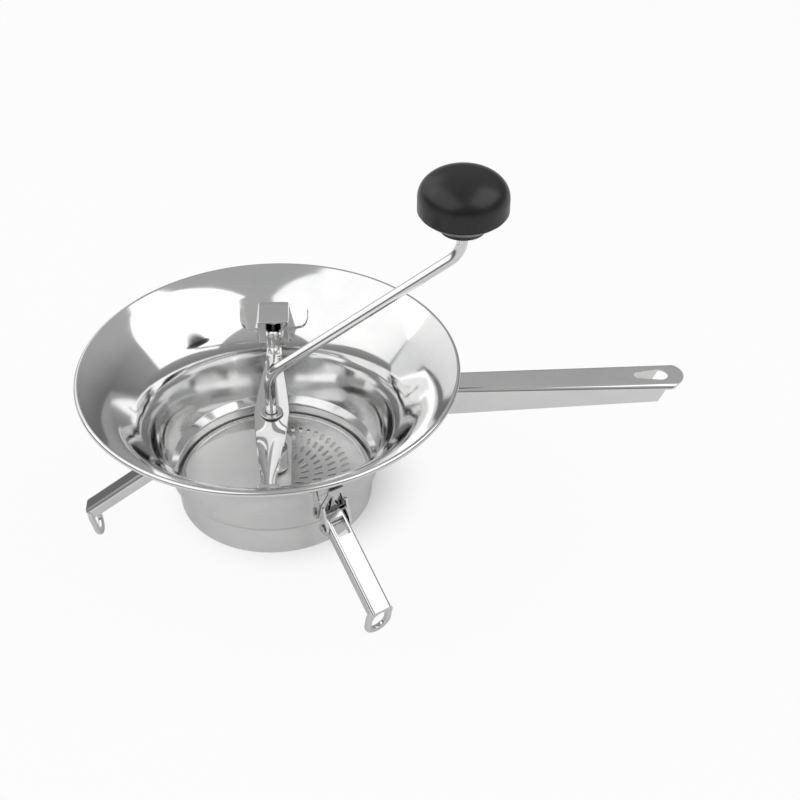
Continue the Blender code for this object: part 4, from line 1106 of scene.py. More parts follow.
@dataclass
class Handle:
    """Handle: an inverted channel with a round end and a hanging hole."""

    bowl: Bowl
    sheet: float = 1.1 * MM
    top: float = 77.9 * MM
    reach: float = 241.0 * MM
    root_width: float = 17.5 * MM
    end_width: float = 22.0 * MM
    root_depth: float = 19.4 * MM
    end_depth: float = 10.6 * MM
    corner: float = 3.0 * MM
    corner_steps: int = 8
    flange_reach: float = 221.0 * MM
    flange_slant: float = 8.0 * MM
    hole_reach: float = 232.0 * MM
    hole_length: float = 20.0 * MM
    hole_width: float = 10.0 * MM
    hole_small_width: float = 6.0 * MM
    edge: float = 0.3 * MM

    def section(self, reach: float) -> tuple[float, float, float, float]:
        """Place and section of the channel at a distance from the bowl's axis."""
        share = (reach - self.bowl.handle_root) / (self.reach - self.bowl.handle_root)
        width = self.root_width + (self.end_width - self.root_width) * share
        depth = self.root_depth + (self.end_depth - self.root_depth) * share
        return reach, self.top, width, depth

    def plan(self, start: float) -> bpy.types.Mesh:
        """Prism of the handle's outline from above."""
        radius = self.end_width / 2
        tip = arc((self.reach - radius, 0), radius, -90, 90, 4 * self.corner_steps)
        wide = radius + OVERRUN
        outline = [(start, -wide), (tip[0].x, -wide), *tip, (tip[-1].x, wide), (start, wide)]
        return plate("handle_plan", [outline], 2 * (self.root_depth + OVERRUN))

    def side(self, start: float) -> bpy.types.Mesh:
        """Prism of the handle's outline from the side."""
        top = self.top + OVERRUN
        lip = self.top - self.corner
        deep = self.top - self.root_depth - OVERRUN
        past = self.reach + OVERRUN
        slant = self.flange_reach + self.flange_slant
        outline = [(start, top), (start, deep), (self.flange_reach, deep), (slant, lip), (past, lip),
                   (past, top)]
        return plate("handle_side", [outline], self.end_width + 2 * OVERRUN)

    def build(self, shop: Workshop) -> None:
        """Press the channel, trim it to the bowl and put it in the scene."""
        start = self.bowl.handle_root - OVERRUN
        low_end = start - OVERRUN
        raised = Matrix.Translation((0, 0, self.top))
        hole = teardrop(
            self.hole_reach, self.hole_length, self.hole_width, self.hole_small_width, 2 * self.corner_steps)
        ends = [self.section(start), self.section(self.reach)]
        form = Form(channel("handle", ends, self.corner, self.corner_steps)).thickened(self.sheet)
        form.mixed(self.plan(low_end), Mix.KEEP, raised)
        form.mixed(self.side(low_end), Mix.KEEP, Matrix.Rotation(math.radians(90), 4, "X"))
        form.mixed(plate("handle_hole", [hole], 2 * OVERRUN), Mix.CUT, raised)
        form.mixed(self.bowl.envelope(), Mix.CUT)
        form.softened(self.edge)
        shop.placed("channel_handle", shaded(form.settled()), shop.pressed_steel, Body.MILL, Slot.STEEL,
                    "handle")


@dataclass
class BarSocket:
    """Hat-shaped fixing on the flare, with the hole that takes one of the bar's tongues."""

    bowl: Bowl
    name: str
    node: str
    turn: float
    width: float
    top: float
    drop: float
    wing_start: float
    wing_depth: float
    wing_width: float
    wing_rounding: float
    hole_top: float
    hole_height: float
    hole_width: float = 9.4 * MM
    face_radius: float = 66.0 * MM
    depth: float = 32.0 * MM
    sheet: float = 1.1 * MM
    fold_share: float = 0.9
    fold_steps: int = 4
    steps: int = 8
    edge: float = 0.22 * MM

    def wings(self) -> bpy.types.Mesh:
        """Prism of the plan outline of the two wings."""
        half = self.wing_width / 2
        far = self.wing_start + self.wing_depth
        corners = [(self.wing_start, 0), (self.wing_start, half), (far, half), (far, 0)]
        side = rounded_line(corners, [self.wing_rounding] * 2, self.steps)[1:-1]
        mirrored = [(along, -across) for along, across in reversed(side)]
        return plate("wing_plan", [[*side, *mirrored]], 2 * self.bowl.rim_height)

    def hole(self) -> bpy.types.Mesh:
        """Prism of the tongue's hole: flat above and round-cornered below."""
        half = self.hole_width / 2
        low = self.hole_top - self.hole_height
        radius = min(half, self.hole_height)
        right = arc((half - radius, low + radius), radius, 0, -90, self.steps)
        left = arc((radius - half, low + radius), radius, -90, -180, self.steps)
        outline = [(half, self.hole_top), *right, *left, (-half, self.hole_top)]
        return plate("tongue_hole", [outline], 2 * (self.sheet + OVERRUN))

    def build(self, shop: Workshop) -> None:
        """Fold the fixing, weld its wings to the flare and put it in the scene."""
        half = self.width / 2
        far = self.face_radius + self.depth
        floor = self.top - self.drop
        inner = half - self.sheet
        form = Form(box("socket", (self.face_radius, -half, floor), (far, half, self.top)))
        form.softened(self.fold_share * self.sheet, self.fold_steps)
        form.mixed(self.bowl.room(), Mix.KEEP)
        low = (self.face_radius + self.sheet, -inner, floor - OVERRUN)
        form.mixed(box("socket_room", low, (far + OVERRUN, inner, self.top - self.sheet)), Mix.CUT)
        lining = Form(self.bowl.lining(self.sheet)).mixed(self.wings(), Mix.KEEP)
        form.mixed(lining.settled(), Mix.JOIN)
        upright = Matrix(((0, 0, 1, self.face_radius), (1, 0, 0, 0), (0, 1, 0, 0), (0, 0, 0, 1)))
        form.mixed(self.hole(), Mix.CUT, upright)
        form.softened(self.edge)
        turn = Matrix.Rotation(math.radians(self.turn), 4, "Z")
        shop.placed(self.name, shaded(form.settled()), shop.pressed_steel, Body.MILL, Slot.STEEL, self.node,
                    place=turn)


@dataclass
class CrossBar:
    """Spindle-shaped strip across the bowl, hollowed lengthwise, with the bush that the crank turns in."""

    sheet: float = 1.2 * MM
    level: float = 56.8 * MM
    reach: float = 64.4 * MM
    front_end: float = 69.6 * MM
    half_width: float = 10.1 * MM
    neck_half_width: float = 3.6 * MM
    taper_power: float = 1.25
    hollow: float = 1.2 * MM
    neck_hollow: float = 2.2 * MM
    bend: float = 4.5 * MM
    crest_bend: float = 3.0 * MM
    crest_level: float = 69.4 * MM
    tongue: float = 6.0 * MM
    length_steps: int = 72
    width_steps: int = 16
    bend_steps: int = 10
    bush_neck: float = 4.9 * MM
    bush_flange_radius: float = 6.6 * MM
    bush_flange: float = 0.9 * MM
    bore: float = 3.5 * MM
    steps: int = 64
    edge: float = 0.25 * MM

    def path(self) -> list[Vector]:
        """Upper side of the bar along its middle, from its front tongue to its rear one."""
        end = self.reach + self.crest_bend + self.tongue
        corners = [(0, self.level), (self.reach, self.level), (self.reach, self.crest_level),
                   (end, self.crest_level)]
        lower = rounded_line(corners[:3], [self.bend], self.bend_steps)
        crest = rounded_line(corners[1:], [self.crest_bend], self.bend_steps)
        run = lower[1].x + self.front_end
        flat = [Vector((run * step / self.length_steps - self.front_end, self.level))
                for step in range(self.length_steps)]
        return [*flat, *lower[1:-1], *crest[1:]]

    def share(self, distance: float) -> float:
        """How far out a place on the bar is: 0 at its centre, 1 from its necks on."""
        return min(abs(distance) / (self.reach - self.bend), 1)

    def width_at(self, distance: float) -> float:
        """Half width of the bar at a distance from its centre."""
        fade = 1 - self.share(distance) ** self.taper_power
        return self.neck_half_width + (self.half_width - self.neck_half_width) * fade

    def hollow_at(self, distance: float) -> float:
        """Depth of the bar's hollow at a distance from its centre."""
        return self.hollow + (self.neck_hollow - self.hollow) * self.share(distance) ** 2

    def surface(self) -> bpy.types.Mesh:
        """Upper side of the bar."""
        path = self.path()
        normals = []
        for index in range(len(path)):
            ahead = path[min(index + 1, len(path) - 1)]
            behind = path[max(index - 1, 0)]
            along = (ahead - behind).normalized()
            normals.append(Vector((-along.y, along.x)))

        def place(column: int, row: int) -> Vector:
            """Point of the bar in a column and a row."""
            spread = 1 - 2 * row / self.width_steps
            point = path[column] + normals[column] * self.hollow_at(path[column].x) * spread * spread
            return Vector((spread * self.width_at(path[column].x), point.x, point.y))

        return sheet("cross_bar", len(path) - 1, self.width_steps, place)

    def bush_profile(self) -> list[Vector]:
        """Section of the bush: a neck between two flanges."""
        share = self.bush_flange_radius / self.half_width
        top = self.level + self.hollow * share * share + SEAT_GAP
        low = self.level - self.sheet - SEAT_GAP
        return eyelet(self.bore, self.bush_neck, self.bush_flange_radius, self.bush_flange, low, top)

    def build(self, shop: Workshop) -> None:
        """Press the bar, rivet its bush and put both in the scene."""
        form = Form(self.surface()).thickened(self.sheet)
        hole = bar("bar_hole", self.bush_neck + SEAT_GAP, 2 * (self.sheet + OVERRUN), self.steps)
        form.mixed(hole, Mix.CUT, Matrix.Translation((0, 0, self.level)))
        form.softened(self.edge)
        shop.placed("spindle_bar", shaded(form.settled()), shop.pressed_steel, Body.MILL, Slot.STEEL,
                    "cross_bar")
        bush = shaded(turned("crank_bush", self.bush_profile(), self.steps))
        shop.placed("crank_bush", bush, shop.dull_steel, Body.MILL, Slot.DULL_STEEL, "bar_bush")


def eyelet(
    bore: float, neck: float, flange_radius: float, flange: float, low: float, high: float
) -> list[Vector]:
    """Closed section of a neck between two round-edged flanges.

    Args:
        bore: Radius of the hole through it.
        neck: Radius of the neck.
        flange_radius: Radius of the flanges.
        flange: Their thickness.
        low: Height of the lower flange's inner face.
        high: Height of the upper flange's inner face.

    Returns:
        The section's points.
    """
    corners = [(bore, high + flange), (flange_radius, high + flange), (flange_radius, high), (neck, high),
               (neck, low), (flange_radius, low), (flange_radius, low - flange), (bore, low - flange)]
    return rounded_loop(corners, SOFT_EDGE_SHARE * flange, EDGE_STEPS)


def washer(bore: float, radius: float, foot: float, height: float, soft: float) -> list[Vector]:
    """Closed section of a plain ring with soft edges.

    Args:
        bore: Radius of the hole through it.
        radius: Its outer radius.
        foot: Height of its underside.
        height: Its own height.
        soft: Radius of its edges.

    Returns:
        The section's points.
    """
    corners = [(bore, foot + height), (radius, foot + height), (radius, foot), (bore, foot)]
    return rounded_loop(corners, soft, EDGE_STEPS)


@dataclass
class Disc:
    """Perforated disc: a flat plate with a raised edge, rings of slanted slots and an eyelet."""

    seat: float = 11.0 * MM
    sheet: float = 0.8 * MM
    radius: float = 56.9 * MM
    edge_width: float = 3.4 * MM
    edge_rise: float = 0.9 * MM
    edge_slope_share: float = 0.3
    edge_step_share: float = 0.1
    edge_sink_share: float = 0.2
    edge_round_share: float = 0.5
    edge_steps: int = 4
    slot_length: float = 5.8 * MM
    slot_width: float = 2.0 * MM
    slot_slant: float = 24.0
    outer_slots: float = 42.3 * MM
    ring_pitch: float = 8.2 * MM
    slot_pitch: float = 5.2 * MM
    slot_steps: int = 5
    burr: float = 0.22 * MM
    eyelet_neck: float = 5.4 * MM
    eyelet_radius: float = 7.6 * MM
    eyelet_flange: float = 0.9 * MM
    bore: float = 3.5 * MM
    steps: int = 160

    def slot(self, radius: float, azimuth: float) -> list[Vector]:
        """Outline of one slanted, round-ended slot, centred at a radius and an azimuth in degrees."""
        half = self.slot_length / 2
        outline = teardrop(half, self.slot_length, self.slot_width, self.slot_width, self.slot_steps)
        slant = Matrix.Rotation(math.radians(azimuth + self.slot_slant), 2)
        center = Matrix.Rotation(math.radians(azimuth), 2) @ Vector((radius, 0))
        return [center + slant @ corner for corner in outline]

    def slots(self) -> list[list[Vector]]:
        """Outlines of all slots, ring by ring."""
        slots = []
        radius = self.outer_slots
        while radius > self.eyelet_radius + self.slot_length:
            count = int(math.tau * radius / self.slot_pitch)
            for number in range(count):
                slots.append(self.slot(radius, FULL_TURN * (number + 0.5) / count + self.slot_slant))
            radius -= self.ring_pitch
        return slots

    def build(self, shop: Workshop) -> None:
        """Punch the disc, roll its edge, rivet its eyelet and put them in the scene."""
        hole = ring((0, 0), self.eyelet_neck + SEAT_GAP, self.steps // 3)
        rim = ring((0, 0), self.radius - self.edge_rise / 2, self.steps)
        flat = plate("disc_plate", [rim, hole, *self.slots()], self.sheet, self.burr)
        middle = Matrix.Translation((0, 0, self.seat + self.sheet / 2))
        flat.transform(middle)
        shop.placed(
            "slotted_disc", shaded(flat), shop.disc_steel, Body.MILL, Slot.DULL_STEEL, "perforated_disc")
        face = self.seat + self.sheet
        top = face + self.edge_rise
        inner = self.radius - self.edge_width
        foot = self.seat + self.edge_sink_share * self.sheet
        bead = [(self.radius - self.edge_slope_share * self.edge_rise, top), (self.radius, face),
                (self.radius, foot), (inner, foot), (inner, face + self.edge_step_share * self.edge_rise),
                (inner + self.edge_rise, top)]
        bead = rounded_loop(bead, self.edge_round_share * self.edge_rise, self.edge_steps)
        edge = shaded(turned("disc_edge", bead, self.steps))
        shop.placed("disc_edge", edge, shop.disc_steel, Body.MILL, Slot.DULL_STEEL)
        profile = eyelet(self.bore, self.eyelet_neck, self.eyelet_radius, self.eyelet_flange,
                         self.seat - SEAT_GAP, self.seat + self.sheet + SEAT_GAP)
        ring_mesh = shaded(turned("disc_ring", profile, self.steps // 2))
        shop.placed("disc_ring", ring_mesh, shop.dull_steel, Body.MILL, Slot.DULL_STEEL, "disc_eyelet")


@dataclass
class Crank:
    """Bent crank rod with the half-moon blade, its hub and cross pin at its foot, and the knob's clip."""

    disc: Disc
    rod_radius: float = 3.1 * MM
    clearance: float = 0.4 * MM
    foot: float = 4.0 * MM
    low_corner: float = 86.0 * MM
    bend: float = 16.0 * MM
    bend_steps: int = 16
    reach: float = 109.1 * MM
    high_corner: float = 164.7 * MM
    end: float = 198.5 * MM
    blade_sheet: float = 1.4 * MM
    blade_reach: float = 54.0 * MM
    blade_half_length: float = 35.5 * MM
    blade_back: float = 9.5 * MM
    blade_tilt: float = 4.0
    blade_steps: int = 96
    blade_corner: float = 2.0 * MM
    blade_corner_steps: int = 6
    blade_edge: float = 0.45 * MM
    hub_radius: float = 8.0 * MM
    hub_height: float = 13.0 * MM
    hub_edge: float = 0.8 * MM
    pin_radius: float = 1.25 * MM
    pin_proud: float = 0.6 * MM
    pin_edge: float = 0.3 * MM
    clip_seat: float = 195.5 * MM
    clip_radius: float = 6.0 * MM
    clip_sheet: float = 1.0 * MM
    clip_edge: float = 0.2 * MM
    rod_edge: float = 0.5 * MM
    rod_resolution: int = 10
    steps: int = 64

    def rod_line(self) -> list[Vector]:
        """Middle line of the rod, from its foot in the disc to its end in the knob."""
        corners = [(0, self.foot), (0, self.low_corner), (self.reach, self.high_corner),
                   (self.reach, self.end)]
        line = rounded_line(corners, [self.bend, self.bend], self.bend_steps)
        return [Vector((along, 0, height)) for along, height in line]

    def blade_height(self) -> float:
        """Height of the middle of the blade on the bowl's axis."""
        tilt = math.radians(self.blade_tilt)
        top = self.disc.seat + self.disc.sheet + SEAT_GAP
        return top + self.blade_half_length * math.sin(tilt) + self.blade_sheet / 2 * math.cos(tilt)

    def hub_foot(self) -> float:
        """Height of the hub's underside, clear of the tilted blade."""
        rise = self.hub_radius * math.sin(math.radians(self.blade_tilt))
        return self.blade_height() + self.blade_sheet / 2 + rise + SEAT_GAP

    def blade_outline(self) -> list[Vector]:
        """Half an ellipse on the -X side, with a straight back past the hub."""
        ellipse = arc((0, 0), 1, 90, 270, self.blade_steps)
        curve = [Vector((self.blade_reach * point.x, self.blade_half_length * point.y)) for point in ellipse]
        corner = self.blade_half_length - self.blade_back
        back = rounded_line([curve[-1], (self.blade_back, -corner), (self.blade_back, corner), curve[0]],
                            [self.blade_corner] * 2, self.blade_corner_steps)
        return [*curve, *back[1:-1]]

    def build(self, shop: Workshop) -> None:
        """Bend the rod, fit the blade, hub, pin and clip, and put them in the scene."""
        pin_height = self.hub_foot() + self.hub_height / 2
        lying = Matrix.Translation((0, 0, pin_height)) @ Matrix.Rotation(math.radians(90), 4, "X")
        bore = self.pin_radius + SEAT_GAP
        rod = Form(tube("crank_wire", self.rod_line(), self.rod_radius, self.rod_resolution))
        rod.softened(self.rod_edge, EDGE_STEPS)
        rod.mixed(bar("rod_hole", bore, 2 * self.hub_radius, self.steps // 2), Mix.CUT, lying)
        shop.placed("bent_rod", shaded(rod.settled()), shop.rod_steel, Body.CRANK, Slot.STEEL, "crank_rod")
        hole = ring((0, 0), self.rod_radius + self.clearance, self.steps)
        blade = plate("blade", [self.blade_outline(), hole], self.blade_sheet, self.blade_edge)
        tilt = Matrix.Rotation(math.radians(self.blade_tilt), 4, "X")
        lifted = Matrix.Translation((0, 0, self.blade_height())) @ tilt
        shop.placed("half_moon_blade", shaded(blade), shop.satin_steel, Body.CRANK, Slot.STEEL,
                    "pressing_blade", place=lifted)
        rod_hole = self.rod_radius + SEAT_GAP
        profile = washer(rod_hole, self.hub_radius, self.hub_foot(), self.hub_height, self.hub_edge)
        hub = Form(turned("hub", profile, self.steps))
        hub.mixed(bar("hub_hole", bore, 3 * self.hub_radius, self.steps // 2), Mix.CUT, lying)
        shop.placed("rod_hub", shaded(hub.settled()), shop.dull_steel, Body.CRANK, Slot.DULL_STEEL,
                    "blade_hub")
        pin_length = 2 * (self.hub_radius + self.pin_proud)
        pin = Form(bar("pin", self.pin_radius, pin_length, self.steps // 2), lying)
        pin.softened(self.pin_edge)
        shop.placed("cross_pin", shaded(pin.settled()), shop.wire_steel, Body.CRANK, Slot.SPRING, "hub_pin")
        clip = washer(rod_hole, self.clip_radius, self.clip_seat, self.clip_sheet, self.clip_edge)
        shop.placed("rod_clip", shaded(turned("clip", clip, self.steps)), shop.wire_steel, Body.CRANK,
                    Slot.SPRING, "knob_clip", place=Matrix.Translation((self.reach, 0, 0)))


@dataclass
class PressureSpring:
    """Spring that presses the blade down, and the washer that it stands on."""

    crank: Crank
    seat_radius: float = 8.2 * MM
    seat_sheet: float = 1.2 * MM
    seat_edge: float = 0.3 * MM
    travel: float = 3.0 * MM
    steps: int = 64

    def build(self, shop: Workshop) -> None:
        """Give the frame's coil its finish and a mesh of its own, and turn the washer under it."""
        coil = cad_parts["pressure_spring"]
        for material_slot in coil.material_slots:
            material_slot.material = shop.wire_steel
        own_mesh(coil)
        foot = self.crank.hub_foot() + self.crank.hub_height + SEAT_GAP
        bore = self.crank.rod_radius + self.crank.clearance
        profile = washer(bore, self.seat_radius, foot, self.seat_sheet, self.seat_edge)
        seat = shaded(turned("seat_washer", profile, self.steps))
        shop.placed("seat_washer", seat, shop.dull_steel, Body.CARRIER, Slot.DULL_STEEL, "spring_seat")


@dataclass
class Knob:
    """Knob: a domed mushroom of two shells that turns on the rod's upper end."""

    reach: float = 109.1 * MM
    radius: float = 24.75 * MM
    neck: float = 12.7 * MM
    foot: float = 179.6 * MM
    lip: float = 1.7 * MM
    hip_radius: float = 21.1 * MM
    hip: float = 8.0 * MM
    underside: float = 11.2 * MM
    side: float = 7.4 * MM
    dome: float = 15.6 * MM
    dome_power: float = 2.2
    wall: float = 2.4 * MM
    spigot: float = 2.4 * MM
    boss_radius: float = 7.5 * MM
    boss: float = 4.4 * MM
    bore: float = 3.5 * MM
    edge: float = 0.5 * MM
    edge_steps: int = 5
    hip_rounding: float = 2.0 * MM
    lip_steps: int = 4
    steps: int = 160
    dome_steps: int = 40

    def base_profile(self) -> list[Vector]:
        """Closed section of the knob's underside with the boss that turns on the rod."""
        shelf = self.foot + self.underside
        spigot = self.radius - self.wall - SEAT_GAP
        corners = [(self.bore, shelf + self.boss), (self.boss_radius, shelf + self.boss),
                   (self.boss_radius, shelf + self.spigot), (spigot, shelf + self.spigot), (spigot, shelf),
                   (self.radius, shelf), (self.hip_radius, self.foot + self.hip),
                   (self.neck, self.foot + self.lip), (self.neck, self.foot), (self.bore, self.foot)]
        hips = {(self.hip_radius, self.foot + self.hip), (self.neck, self.foot + self.lip)}
        radii = [self.hip_rounding if corner in hips else self.edge for corner in corners[1:-1]]
        return rounded_line(corners, radii, self.edge_steps)

    def dome_line(self, radius: float, height: float) -> list[Vector]:
        """Full, slightly squared dome, from its top on the axis down to its edge."""
        level = self.foot + self.underside + SEAT_GAP + self.side
        line = [Vector((0, level + height))]
        for turn in arc((0, 0), 1, 90, 0, self.dome_steps)[1:-1]:
            out = radius * turn.x ** (2 / self.dome_power)
            line.append(Vector((out, level + height * turn.y ** (2 / self.dome_power))))
        return [*line, Vector((radius, level))]

    def cap_profile(self) -> list[Vector]:
        """Open section of the knob's cap, outside down and inside up, both ends on its axis."""
        foot = self.foot + self.underside + SEAT_GAP
        inside = self.radius - self.wall
        outer = self.dome_line(self.radius, self.dome)
        inner = self.dome_line(inside, self.dome - self.wall)
        lip = rounded_line([outer[-1], (self.radius, foot), (inside, foot), inner[-1]], [self.edge] * 2,
                           self.lip_steps)
        return [*outer, *lip[1:-1], *reversed(inner)]

    def build(self, shop: Workshop) -> None:
        """Turn both shells and put them in the scene."""
        place = Matrix.Translation((self.reach, 0, 0))
        base = shaded(turned("knob_core", self.base_profile(), self.steps))
        shop.placed("knob_core", base, shop.moulding, Body.KNOB, Slot.KNOB, "knob_base", place=place)
        cap = shaded(turned("knob_shell", self.cap_profile(), self.steps, closed=False))
        shop.placed("knob_shell", cap, shop.moulding, Body.KNOB, Slot.KNOB, "knob_cap", place=place)


@dataclass
class Leg:
    """One folding leg with its ring foot, wall bracket and hinge pin, drawn on the +X side."""

    bowl: Bowl
    name: str
    azimuth: float
    body: Body
    sheet: float = 1.2 * MM
    slope: float = 36.6
    span: float = 56.2 * MM
    width: float = 13.2 * MM
    corner: float = 2.4 * MM
    web_rise: float = 4.9 * MM
    flange_drop: float = 2.1 * MM
    ear_radius: float = 4.5 * MM
    window_start: float = 3.2 * MM
    window_end: float = 9.0 * MM
    foot_sheet: float = 3.0 * MM
    foot_lean: float = 13.0
    foot_length: float = 22.0 * MM
    foot_width: float = 17.0 * MM
    foot_slot_width: float = 9.4 * MM
    foot_slot_length: float = 14.6 * MM
    foot_flat: float = 0.4 * MM
    foot_edge: float = 0.9 * MM
    hinge_radius: float = 68.4 * MM
    hinge_height: float = 22.0 * MM
    pin_radius: float = 1.5 * MM
    head_radius: float = 2.8 * MM
    head: float = 1.1 * MM
    head_round_share: float = 0.5
    head_root_share: float = 0.3
    head_steps: int = 4
    bracket_sheet: float = 1.3 * MM
    bracket_top: float = 50.5 * MM
    tab_foot: float = 45.5 * MM
    tab_half_width: float = 4.8 * MM
    arm_foot: float = 37.5 * MM
    arm: float = 1.9 * MM
    strip_half_width: float = 2.1 * MM
    window_foot: float = 30.5 * MM
    bracket_foot: float = 27.0 * MM
    bracket_ear: float = 4.6 * MM
    bracket_inset: float = 0.5 * MM
    bracket_rounding: float = 0.8 * MM
    window_rounding: float = 0.5 * MM
    lobe_start: float = 200.0
    lobe_end: float = 380.0
    heel_rounds: int = 8
    steps: int = 8
    pin_steps: int = 48
    edge: float = 0.25 * MM

    def heel(self) -> float:
        """How far the leg's web runs past its hinge pin, to stop against the bracket's plate."""
        slope = math.radians(self.slope)
        rise = self.web_rise - self.corner
        reach = 0.0
        for _ in range(self.heel_rounds):
            height = self.hinge_height + rise * math.cos(slope) + reach * math.sin(slope)
            wall = self.bowl.wall_radius(height) + SEAT_GAP + self.bracket_sheet
            reach = (self.hinge_radius + rise * math.sin(slope) - wall - SEAT_GAP) / math.cos(slope)
        return reach

    def foot_direction(self) -> Vector:
        """Unit vector down the foot in the leg's own axes."""
        angle = math.radians(self.slope - 90 - self.foot_lean)
        return Vector((math.cos(angle), 0, math.sin(angle)))

    def foot_root(self) -> Vector:
        """Point in the leg's own axes where the middle of the foot's plate leaves the web."""
        return Vector((self.span - self.foot_sheet / 2, 0, self.web_rise - self.foot_sheet / 2))

    def foot(self) -> bpy.types.Mesh:
        """Ring foot with a slot, lying along X from its root."""
        radius = self.foot_width / 2
        end = arc((self.foot_length - radius, 0), radius, -90, 90, 4 * self.steps)
        half = self.width / 2
        outline = [(0, -half), (radius / 2, -radius), *end, (radius / 2, radius), (0, half)]
        band = (self.foot_width - self.foot_slot_width) / 2
        slot = teardrop(
            self.foot_length - band, self.foot_slot_length, self.foot_slot_width, self.foot_slot_width,
            2 * self.steps)
        return plate("leg_foot", [outline, slot], self.foot_sheet, self.foot_edge)

    def side(self) -> bpy.types.Mesh:
        """Prism of the leg's side outline: web line, flange line and the round ear about the pin."""
        heel = -self.heel()
        drop = math.degrees(math.asin(self.flange_drop / self.ear_radius))
        ear = arc((0, 0), self.ear_radius, -drop, -180, 3 * self.steps)
        over = self.web_rise + OVERRUN
        outline = [(self.span, over), (self.span, -self.flange_drop), *ear,
                   (heel, self.web_rise - self.corner), (heel, over)]
        return plate("leg_side", [outline], self.width + OVERRUN)

    def ground(self) -> float:
        """Height of the ground below the base ring, where the feet are cut flat."""
        slope = math.radians(self.slope)
        lean = math.radians(self.foot_lean)
        root = self.foot_root()
        height = self.hinge_height - root.x * math.sin(slope) + root.z * math.cos(slope)
        drop = self.foot_length * math.cos(lean) + self.foot_sheet / 2 * math.sin(lean)
        return height - drop + self.foot_flat

    def leg(self) -> bpy.types.Mesh:
        """Leg in its own axes: hinge pin at the origin, X down the leg, Z square to its web."""
        long = self.span + OVERRUN
        short = -self.heel() - OVERRUN
        depth = self.web_rise + self.ear_radius + OVERRUN
        ends = [(short, self.web_rise, self.width, depth), (long, self.web_rise, self.width, depth)]
        form = Form(channel("leg", ends, self.corner, self.steps)).thickened(self.sheet)
        lying = Matrix.Rotation(math.radians(90), 4, "X")
        form.mixed(self.side(), Mix.KEEP, lying)
        hole = bar("pin_hole", self.pin_radius + SEAT_GAP, self.width + OVERRUN, 4 * self.steps)
        form.mixed(hole, Mix.CUT, lying)
        half = self.width / 2 - self.corner
        low = (self.window_start - self.heel(), -half, self.web_rise - self.sheet - OVERRUN)
        high = (self.window_end, half, self.web_rise + OVERRUN)
        form.mixed(box("leg_window", low, high), Mix.CUT)
        form.softened(self.edge)
        down = self.foot_direction()
        turn = Matrix.Rotation(math.atan2(-down.z, down.x), 4, "Y")
        form.mixed(self.foot(), Mix.JOIN, Matrix.Translation(self.foot_root()) @ turn)
        slope = Matrix.Rotation(math.radians(self.slope), 4, "Y").inverted()
        below = slope @ Vector((0, 0, self.ground() - self.hinge_height))
        slab = box("ground", (0, -self.foot_width, -self.foot_length), (2 * self.span, self.foot_width, 0))
        form.mixed(slab, Mix.CUT, Matrix.Translation(below) @ slope)
        return form.settled()

    def half_bracket(self) -> float:
        """Half the bracket's width, over both ears."""
        return self.width / 2 + SEAT_GAP + self.bracket_sheet

    def bracket_front(self) -> list[list[Vector]]:
        """Front outline of the bracket's plate and of its two windows."""
        half = self.half_bracket() - self.bracket_inset
        tab = self.tab_half_width
        below = self.bracket_foot - OVERRUN
        left = [(-half, below), (-half, self.arm_foot), (-tab, self.tab_foot), (-tab, self.bracket_top)]
        right = [(-across, height) for across, height in reversed(left)]
        outlines = [rounded_loop([*left, *right], self.bracket_rounding, EDGE_STEPS)]
        inner = half - self.arm
        slope = (self.tab_foot - self.arm_foot) / (half - tab)
        peak = self.arm_foot + (inner - self.strip_half_width) * slope
        for side in (1, -1):
            window = [(side * self.strip_half_width, self.window_foot), (side * inner, self.window_foot),
                      (side * inner, self.arm_foot), (side * self.strip_half_width, peak)]
            outlines.append(rounded_loop(window, self.window_rounding, EDGE_STEPS))
        return outlines

    def ear_outline(self) -> list[Vector]:
        """Side outline of a bracket ear: down the wall, round the hinge pin and back up."""
        inset = SEAT_GAP + self.bracket_sheet / 2
        low = self.bracket_foot + self.bracket_sheet
        high_radius = self.bowl.wall_radius(self.arm_foot) + inset
        low_radius = self.bowl.wall_radius(low) + inset
        hinge = (self.hinge_radius, self.hinge_height)
        lobe = arc(hinge, self.bracket_ear, self.lobe_start, self.lobe_end, 4 * self.steps)
        return [Vector((high_radius, self.arm_foot)), Vector((low_radius, low)), *lobe,
                Vector((high_radius + self.bracket_sheet, self.arm_foot))]

    def bracket(self) -> bpy.types.Mesh:
        """Leg bracket: a plate on the wall and two ears for the hinge pin."""
        steps = 4 * self.steps
        span = self.bracket_top - self.bracket_foot
        heights = [self.bracket_top - span * step / steps for step in range(steps + 1)]
        inner = [Vector((self.bowl.wall_radius(height) + SEAT_GAP, height)) for height in heights]
        outer = [Vector((point.x + self.bracket_sheet, point.y)) for point in inner]
        form = Form(turned("bracket", [*outer, *reversed(inner)], self.bowl.steps))
        depth = 2 * (self.half_bracket() + OVERRUN)
        upright = Matrix(((0, 0, 1, inner[0].x), (1, 0, 0, 0), (0, 1, 0, 0), (0, 0, 0, 1)))
        form.mixed(plate("bracket_front", self.bracket_front(), depth), Mix.KEEP, upright)
        lying = Matrix.Rotation(math.radians(90), 4, "X")
        across = self.width / 2 + SEAT_GAP + self.bracket_sheet / 2
        for side in (-1, 1):
            ear = plate(f"ear_{side}", [self.ear_outline()], self.bracket_sheet)
            form.mixed(ear, Mix.JOIN, Matrix.Translation((0, side * across, 0)) @ lying)
        hinge = Matrix.Translation((self.hinge_radius, 0, self.hinge_height))
        hole = bar("bracket_hole", self.pin_radius + SEAT_GAP, depth, 4 * self.steps)
        form.mixed(hole, Mix.CUT, hinge @ lying)
        return form.softened(self.edge).settled()

